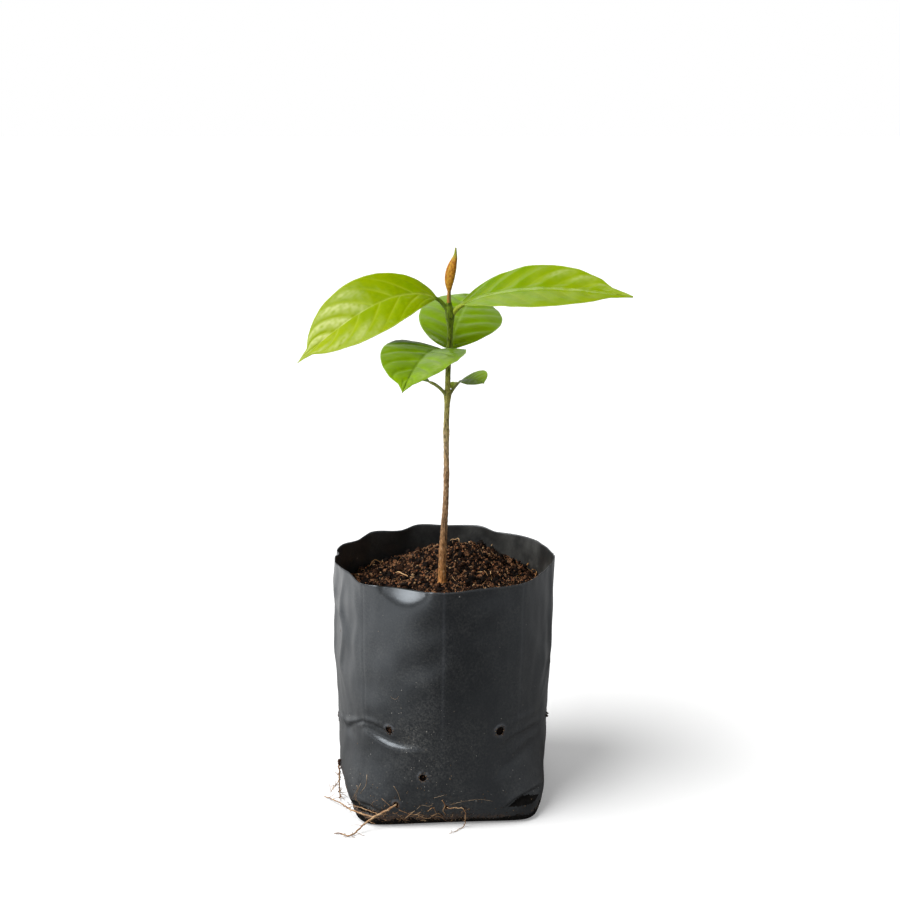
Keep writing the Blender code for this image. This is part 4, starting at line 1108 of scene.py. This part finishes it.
def leaf_surface(leaf, along, across):
    """The leaf's middle surface over grids of along (0 at the base, 1 at the tip) and across (-1 to 1).

    The midrib starts along the heading and bends down by droop, mostly within the ease share of its
    length. Each half rises from the midrib by the fold angle and arches back over by the arch angle."""
    eased = (1 - np.exp(-along / leaf["ease"])) / (1 - math.exp(-1 / leaf["ease"]))
    rise = np.radians(leaf["rise"] - leaf["droop"] * eased)
    turn = np.radians(leaf["heading"] + leaf["sweep"] * along)
    way = np.stack([np.cos(rise) * np.cos(turn), np.cos(rise) * np.sin(turn), np.sin(rise)], axis=1)
    steps_taken = (way[1:] + way[:-1]) / 2 * leaf["length"] / (len(along) - 1)
    midrib = leaf["base"] + CLEAR / 2 * way[0] + np.vstack([np.zeros(3), np.cumsum(steps_taken, axis=0)])
    level = np.stack([-np.sin(turn), np.cos(turn), 0 * turn], axis=1)
    above = np.cross(way, level)
    roll = np.radians(leaf["roll"] + leaf["twist"] * along)[:, None]
    side = level * np.cos(roll) + above * np.sin(roll)
    above = above * np.cos(roll) - level * np.sin(roll)
    least = leaf["base_half_width"] + (leaf["tip_half_width"] - leaf["base_half_width"]) * along
    width = np.maximum(leaf["half_width"] * leaf_outline(along, leaf), least)
    tilt = np.radians(leaf["fold"] - leaf["arch"] * np.abs(across) / 2)
    out = (width[:, None] * across * np.cos(tilt))[:, :, None] * side[:, None]
    up = (width[:, None] * np.abs(across) * np.sin(tilt))[:, :, None] * above[:, None]
    return midrib[:, None] + out + up, width


def vein_pattern(leaf, along, across, width):
    """Where the veins run, 0 to 1, and how the skin puffs up between them.

    Side vein number k leaves the midrib at share k of the veins and sweeps forward by the vein lag times
    v + 0.6 v^2, v being the share of the half-width. Each is a narrow bell that thins outwards, and
    the skin dips to it in a wider bell, the furrow."""
    reach = np.abs(across)[None, :]
    lag = leaf["vein_lag"] * (reach + 0.6 * reach**2) + 0.008 * np.sin(9 * along + leaf["seed"])[:, None]
    count = leaf["veins"]
    phase = (along[:, None] - lag) * count + 0.35 * (across > 0)[None, :]
    off = (phase - np.round(phase)) / count * leaf["length"] * 0.75
    side_vein = bell(off / 0.3) * (1 - 0.8 * reach) * held(width[:, None] / 4 - 0.3)
    side_vein *= (phase > 0.3) & (phase < count - 0.6)
    midrib = bell(across[None, :] * width[:, None] / (0.62 - 0.3 * along[:, None]))
    inland = held(1.25 - reach) * held(reach * 4)
    inland = inland * held(width[:, None] / leaf["half_width"] * 1.5)
    puff = 1 - bell(off / leaf["furrow"]) * inland
    # Painted sheen: pale patches just past each side vein, from the middle of the blade to its tip, standing
    # for the gloss of the quilted skin
    past = phase - np.floor(phase)
    spot = np.stack(np.broadcast_arrays(along[:, None] * leaf["length"], across * width[:, None]), axis=-1)
    streaks = 0.75 + 0.3 * ripples(spot, 2.2, seed=leaf["seed"] + 60, waves=24)
    bloom = held(past / 0.14) * held((0.85 - past) / 0.5) * held(streaks)
    bloom = bloom * held((along[:, None] - 0.4) / 0.15) * held((0.97 - reach) / 0.2)
    bloom = bloom * np.where(across > 0, leaf["bloom"][0] * held((reach - 0.3) / 0.3), leaf["bloom"][1])
    return np.maximum(midrib * (1 - 0.6 * along[:, None]), 0.75 * side_vein), midrib, puff, bloom


def leaf_blade(leaf):
    """The blade as closed rings round its section: the upper skin from one margin to the other, then the
    lower skin back. Quilting and a wavy margin move both skins along the surface's normal, the midrib is
    sunk above and stands out below, and the blade thins towards its margin."""
    along = np.linspace(0, 1, int(leaf["length"] / leaf["grid"]))
    half = int(leaf["half_width"] / leaf["grid"])
    across = np.sin(np.linspace(-1, 1, 2 * half + 1) * math.pi / 2.3) / math.sin(math.pi / 2.3)
    middle, width = leaf_surface(leaf, along, across)
    normal = np.cross(np.gradient(middle, axis=0), np.gradient(middle, axis=1))
    normal /= np.linalg.norm(normal, axis=2)[:, :, None]
    normal *= np.sign(normal[len(along) // 2, half, 2])
    veins, midrib, puff, bloom = vein_pattern(leaf, along, across, width)
    edge = np.abs(across)[None, :] ** 3 * held(width[:, None] / leaf["half_width"] * 1.4)
    spot = np.stack(np.broadcast_arrays(along[:, None] * leaf["length"], 8 * across[None, :]), axis=-1)
    wave = leaf["margin_wave"] * edge * ripples(spot, 9, seed=leaf["seed"])
    sag = 0.1 * ripples(spot, 11, seed=leaf["seed"] + 20) * held(width / 5)[:, None]
    flat = np.stack(np.broadcast_arrays(along[:, None] * leaf["length"], across * width[:, None]), axis=-1)
    rung = ripples(flat, 3.4, seed=leaf["seed"] + 40, waves=24)
    puffed = leaf["quilt"] * np.where(across > 0, *leaf["quilt_sides"]) * puff
    lift = puffed + leaf["rungs"] * rung * puff - 0.1 * veins + wave + sag
    thick = leaf["thickness"] * (1 - 0.55 * np.abs(across)[None, :] ** 4) / 2
    rib = 0.55 * midrib * np.clip(width[:, None] / 3, 0.2, 1) * (1 - 0.7 * along[:, None])
    upper = middle + normal * (lift + thick - 0.14 * midrib)[:, :, None]
    lower = middle + normal * (lift - thick - rib)[:, :, None]
    rings = np.concatenate([upper, lower[:, ::-1]], axis=1)

    def both(value):
        """The value over the upper skin, and then back over the lower one."""
        value = np.broadcast_to(value, veins.shape)
        return np.concatenate([value, value[:, ::-1]], axis=1)

    under = np.concatenate([np.zeros_like(veins), np.ones_like(veins)], axis=1)
    values = {
        "vein": both(veins), "puff": both(puff), "along": both(along[:, None]), "across": both(across),
        "under": under, "bloom": both(bloom) * (1 - under),
    }
    return rings.reshape(-1, 3), tube_faces(*rings.shape[:2]), values


def leaf_material(leaf):
    """Leaf: a waxy skin over green tissue. The veins are pale, the tissue by them is lighter, the margin is
    a thin yellow line, the tip is a little yellower than the base, pale patches of painted sheen lie between
    the side veins, and the lower side is paler and matt."""
    made, add, shader, place = new_material(leaf["name"].replace("leaf", "leaf_skin"))
    here = {
        name: add("Attribute", attribute_name=name).outputs["Fac"]
        for name in ("vein", "puff", "along", "across", "under", "bloom")
    }
    blotch = add("TexNoise", Vector=place, Scale=1000 / 9, Detail=4, Roughness=0.6)
    blotch = add("MapRange", blotch, 0.36, 0.64, 0, 0.4)
    further = add("MapRange", here["along"], 0.25, 0.8, 0, 0.6)
    share = add("Math", blotch, further, operation="ADD")
    flat = add("MapRange", here["puff"], 0.75, 0, 0, 0.4)
    veined = add("Math", here["vein"], leaf["vein_share"], operation="MULTIPLY")
    margin = add("Math", here["across"], operation="ABSOLUTE")
    margin = add("MapRange", margin, 0.955, 1, 0, 0.7)
    below = add("Math", here["under"], 0.8, operation="MULTIPLY")
    dark, light = leaf["tones"]
    tone = layered(
        add, dark, (share, light), (flat, light), (veined, leaf["vein_tone"]), (here["bloom"], "#dde2a0"),
        (margin, leaf["vein_tone"]), (below, leaf["under_tone"]),
    )
    cells = add("TexNoise", Vector=place, Scale=1000 / 0.45, Detail=2)
    bump = add("Bump", Height=cells, Strength=0.25, Distance=0.0001)
    gloss = add("MapRange", here["under"], 0, 1, leaf["gloss"], 0.6)
    feed(shader, Base_Color=tone, Roughness=gloss, Normal=bump, IOR=1.42, Specular_IOR_Level=leaf["wax"])
    return made


def heading_vector(heading, rise):
    """The unit vector that points along a heading, raised by rise."""
    flat = math.cos(math.radians(rise))
    turn = math.radians(heading)
    return np.array([flat * math.cos(turn), flat * math.sin(turn), math.sin(math.radians(rise))])


def stalk_material(name, tone_code):
    """Leaf stalk: smooth and green, a little ridged and mottled, satin."""
    made, add, shader, place = new_material(name)
    flecks = add("TexNoise", Vector=place, Scale=1000 / 0.9, Detail=4)
    shade = add("MapRange", flecks, 0.3, 0.7, 0.75, 1.2)
    tone = add("Mix", Factor=1, A=tone_code, B=shade, data_type="RGBA", blend_type="MULTIPLY")
    bump = add("Bump", Height=flecks, Strength=0.4, Distance=0.0001)
    feed(shader, Base_Color=tone, Roughness=0.5, Specular_IOR_Level=0.2, Normal=bump)
    return made


def stalk_route(leaf):
    """A quadratic curve from the stem's centre at the node, arriving at the blade along its heading, and
    then on a little way under the midrib."""
    arrival = heading_vector(leaf["heading"], leaf["rise"])
    tip = leaf["base"]
    start = stem_centre(np.array(leaf["node_height"]))
    reach = np.linalg.norm(tip - start)
    t = np.linspace(0, 1, 40)[:, None]
    bend = tip - arrival * reach * leaf["petiole_bend"]
    curve = start * (1 - t) ** 2 + 2 * bend * t * (1 - t) + tip * t**2
    return np.vstack([curve, tip + arrival * np.array([[0.8], [1.6], [2.4]]) - (0, 0, 0.05)])


for sizes in LEAVES:
    points, faces, values = leaf_blade(sizes)
    add_piece(sizes["name"].replace("leaf", "blade"), points, faces, leaf_material(sizes),
              [sizes["name"]], values)
    if sizes["node_height"]:
        route = stalk_route(sizes)
        share = np.linspace(0, 1, len(route))
        radii = sizes["petiole_foot"] * (1 + 0.5 * np.exp(-share / 0.16))
        radii = radii + (sizes["petiole_tip"] - radii) * held(share * 1.15) ** 0.8
        radii[-3:] *= (0.85, 0.6, 0.3)
        points, faces = tubes(route[None], radii[None], 16)
        name = sizes["name"].replace("leaf", "stalk")
        skin = stalk_material(name + "_skin", sizes["stalk_tone"])
        add_piece(name, points, faces, skin, [sizes["name"].replace("leaf", "petiole")])

AXIL_ROUTE = ((2.0, 1.3, 179.2), (2.6, 1.9, 180.4), (3.35, 2.25, 181.5), (3.45, 2.6, 182.3))
axil_route = smooth_route(AXIL_ROUTE, 16)
points, faces = tubes(axil_route[None], np.linspace(0.55, 0.28, len(axil_route))[None], 10)
add_piece("stalk_lower_axil", points, faces, stalk_material("axil_stalk_skin", "#88981e"),
          ["shoot_lower_axil"])


# -- the bud ------------------------------------------------------------------------------------------
# Next season's pair of leaves, still pressed face to face into a spindle on a short stalk. The tissue is
# thin and bronze before its green comes in, with a raised midrib down the back of each leaf.

BUD_ROUTE = ((224.5, 1.8), (228, 1.8), (232, 2.3), (236, 3.2), (239.5, 4.3), (243, 4.6))  # height, X
BUD_WIDTHS = ((224.5, 0.75), (227, 1.6), (230, 2.3), (234, 2.35), (237.5, 1.6), (240.3, 0.72), (243, 0.3))
BUD_FACING = -125.0
BUD_DEPTH = 0.62


def bud_leaf(facing, count=90, sides=36):
    """Half a spindle: at each height a flat inner side and a rounded back, as broad as the width table
    read smoothly, with a keel along the back and slanting veins sunk into it."""
    heights = np.linspace(BUD_ROUTE[0][0], BUD_ROUTE[-1][0], count)
    line = smooth_route(BUD_ROUTE, 200)
    widths = smooth_route(BUD_WIDTHS, 200)
    width = np.interp(heights, widths[:, 0], widths[:, 1])[:, None]
    centre = np.stack([np.interp(heights, line[:, 0], line[:, 1]), 0 * heights, heights], axis=1)
    outward = heading_vector(facing, 0)
    broad = np.array([outward[1], -outward[0], 0])
    swing = np.linspace(0, math.pi, sides)[None, :]
    aside = np.cos(swing)
    keel = bell(aside / 0.16)
    slant = (heights[:, None] - 2.2 * np.abs(aside)) / 1.9
    furrow = np.abs(np.sin(math.pi * slant)) ** 0.6 * (1 - keel)
    depth = (width * BUD_DEPTH + 0.1) * np.sin(swing) * (0.93 + 0.07 * furrow)
    depth = (depth + 0.16 * keel * np.sqrt(width / 2))[:, :, None]
    rings = centre[:, None] + 0.05 * outward + (width * aside)[:, :, None] * broad + depth * outward
    values = {"keel": np.broadcast_to(keel, furrow.shape), "furrow": furrow}
    return rings.reshape(-1, 3), tube_faces(count, sides), values


def bud_material(name, dark, light):
    """Young leaf tissue: bronze over green, mottled, satin, brighter along the keel, green at its tip."""
    made, add, shader, place = new_material(name)
    tone, mottle = mottled(add, place, 1.1, 4, 0.5, 0.42, 0.58, dark, light)
    keel = add("Attribute", attribute_name="keel").outputs["Fac"]
    keel = add("Math", keel, 0.5, operation="MULTIPLY")
    tip = add("MapRange", add("SeparateXYZ", place).outputs["Z"], 0.2375, 0.2405)
    tone = layered(add, tone, (keel, "#c09a34"), (tip, "#8a8f2a"))
    bump = add("Bump", Height=mottle, Strength=0.3, Distance=0.0001)
    feed(shader, Base_Color=tone, Roughness=0.45, Specular_IOR_Level=0.25, Normal=bump)
    return made


for side, facing, finish, dark, light in (
    ("front", BUD_FACING, "bronze_bud_leaf", "#965c0a", "#b8821c"),
    ("back", BUD_FACING + 180, "olive_bud_leaf", "#9a7c12", "#b8982a"),
):
    points, faces, values = bud_leaf(facing)
    tissue = bud_material(finish, dark, light)
    add_piece("bud_" + side, points, faces, tissue, ["bud_leaf_" + side], values)

# The bud's stalk is bronze on its sunny left side and dark green on the other
stalk_skin, add, shader, place = new_material("bronze_stalk_skin")
axes = add("SeparateXYZ", place).outputs
sunny = add("MapRange", axes["X"], 0.0021, 0.0013)
tone = add("Mix", Factor=sunny, A="#6e5a14", B="#a06a1a", data_type="RGBA")
flecks = add("TexNoise", Vector=place, Scale=1000 / 0.8, Detail=3)
bump = add("Bump", Height=flecks, Strength=0.4, Distance=0.0001)
feed(shader, Base_Color=tone, Roughness=0.5, Normal=bump)
stalk_foot = stem_centre(np.array(STEM_ROUTE[-1][0] - 0.8))
stalk = smooth_route((stalk_foot, (1.72, 0, 220.8), (1.7, 0, 222.4), (1.8, 0, 224.2), (1.8, 0, 225.2)), 30)
radii = np.interp(np.linspace(0, 1, len(stalk)), (0, 0.3, 1), (1.05, 0.9, 0.75))
points, faces = tubes(stalk[None], radii[None], 16)
add_piece("bud_stalk_skin", points, faces, stalk_skin, ["bud_stalk"])


# -- the table, the light and the camera ---------------------------------------------------------------
# A white sweep under a large soft light from the front left, with white walls behind and a dim room in
# front, so that the film stays black and the leaves carry a pale sheen from behind. To all rays but the
# camera's the sweep is dimmer at its front and middle and glows on its left: painted reflection in the film.

PANEL_TURN = math.radians(105)  # the brightest part of the back wall
TABLE_OUTLINE = ((-10, 10), (-10, -10), (10, -10), (10, 10))
mesh = bpy.data.meshes.new("table")
mesh.from_pydata([(x, y, 0) for x, y in TABLE_OUTLINE], [], [tuple(range(len(TABLE_OUTLINE)))])
table = bpy.data.objects.new("table", mesh)
bpy.context.scene.collection.objects.link(table)
paper, add, shader, place = new_material("white_paper_sweep")
tooth = add("TexNoise", Vector=place, Scale=1000 / 3, Detail=2)
seen = add("LightPath").outputs["Is Camera Ray"]
axes = add("SeparateXYZ", place).outputs
# painted reflection: only camera rays see the sweep evenly white; other rays see it dimmer at its front and
# middle
level = seen
for axis, dim_from, bright_from, bright in (
    ("X", -0.02, -0.22, 0.97), ("Y", -0.2, -0.1, 0.3), ("X", 0.16, 0.4, 0.5),
):
    side = add("MapRange", axes[axis], dim_from, bright_from, 0.1, bright)
    level = add("Math", level, side, operation="MAXIMUM")
tone = add("Mix", Factor=tooth, A="#e9e9e9", B="#efefef", data_type="RGBA")
tone = add("Mix", Factor=1, A=tone, B=level, data_type="RGBA", blend_type="MULTIPLY")
# painted reflection: the sweep glows on its left for all rays but the camera's
glow = add("MapRange", axes["X"], -0.08, -0.35, 0, 0.6)
feed(shader, Base_Color=tone, Roughness=0.9, Specular_IOR_Level=0.1, Emission_Color=(1, 1, 1, 1),
     Emission_Strength=add("Mix", Factor=seen, A=glow, B=0.2))
mesh.materials.append(paper)

KEY_FROM = (-0.57, -0.29, 0.77)
key = bpy.data.lights.new("key", "SUN")
key.energy = 3.9
key.angle = math.radians(46)
key_lamp = bpy.data.objects.new("key", key)
bpy.context.scene.collection.objects.link(key_lamp)
key_lamp.rotation_euler = Vector(KEY_FROM).to_track_quat("Z", "Y").to_euler()

room = bpy.data.worlds.new("white studio")
bpy.context.scene.world = room
room.use_nodes = True
room.node_tree.nodes.clear()
add = partial(add_node, room.node_tree)
axes = add("SeparateXYZ", add("TexCoord").outputs["Generated"]).outputs
left = add("MapRange", axes["X"], 0.2, -0.12, 0.3, 1, interpolation_type="SMOOTHSTEP")
back = add("MapRange", axes["Y"], -0.2, 0.3, interpolation_type="SMOOTHSTEP")
turned = add("Math", axes["Y"], axes["X"], operation="ARCTAN2")
aside = add("Math", turned, PANEL_TURN, operation="SUBTRACT")
aside = add("Math", aside, operation="ABSOLUTE")
panel = add("MapRange", aside, 0.1, 0.6, 1.25, 0.65, interpolation_type="SMOOTHSTEP")
back = add("Math", back, panel, operation="MULTIPLY")
walls = add("Mix", Factor=back, A=0.45, B=left)
ceiling = add("MapRange", axes["Z"], 0.7, 0.87, 1, 0.03, interpolation_type="SMOOTHSTEP")
below = add("MapRange", axes["Z"], -0.05, 0, 0.12)
for dimming in (ceiling, below):
    walls = add("Math", walls, dimming, operation="MULTIPLY")
level = add("Mix", Factor=add("LightPath").outputs["Is Camera Ray"], A=walls, B=1)
add("OutputWorld", Surface=add("Background", Color=(1, 1, 1, 1), Strength=level))
bpy.context.scene.view_settings.view_transform = "Standard"

CAMERA_PLACE = (0.00217, -0.6301, 0.3064)
CAMERA_DIP = 13.43  # degrees below level
lens = bpy.data.cameras.new("camera")
lens.lens = 60
lens.sensor_width = 36
lens.clip_end = 30
camera = bpy.data.objects.new("camera", lens)
bpy.context.scene.collection.objects.link(camera)
camera.location = CAMERA_PLACE
camera.rotation_euler = (math.radians(90 - CAMERA_DIP), 0, 0)
bpy.context.scene.camera = camera
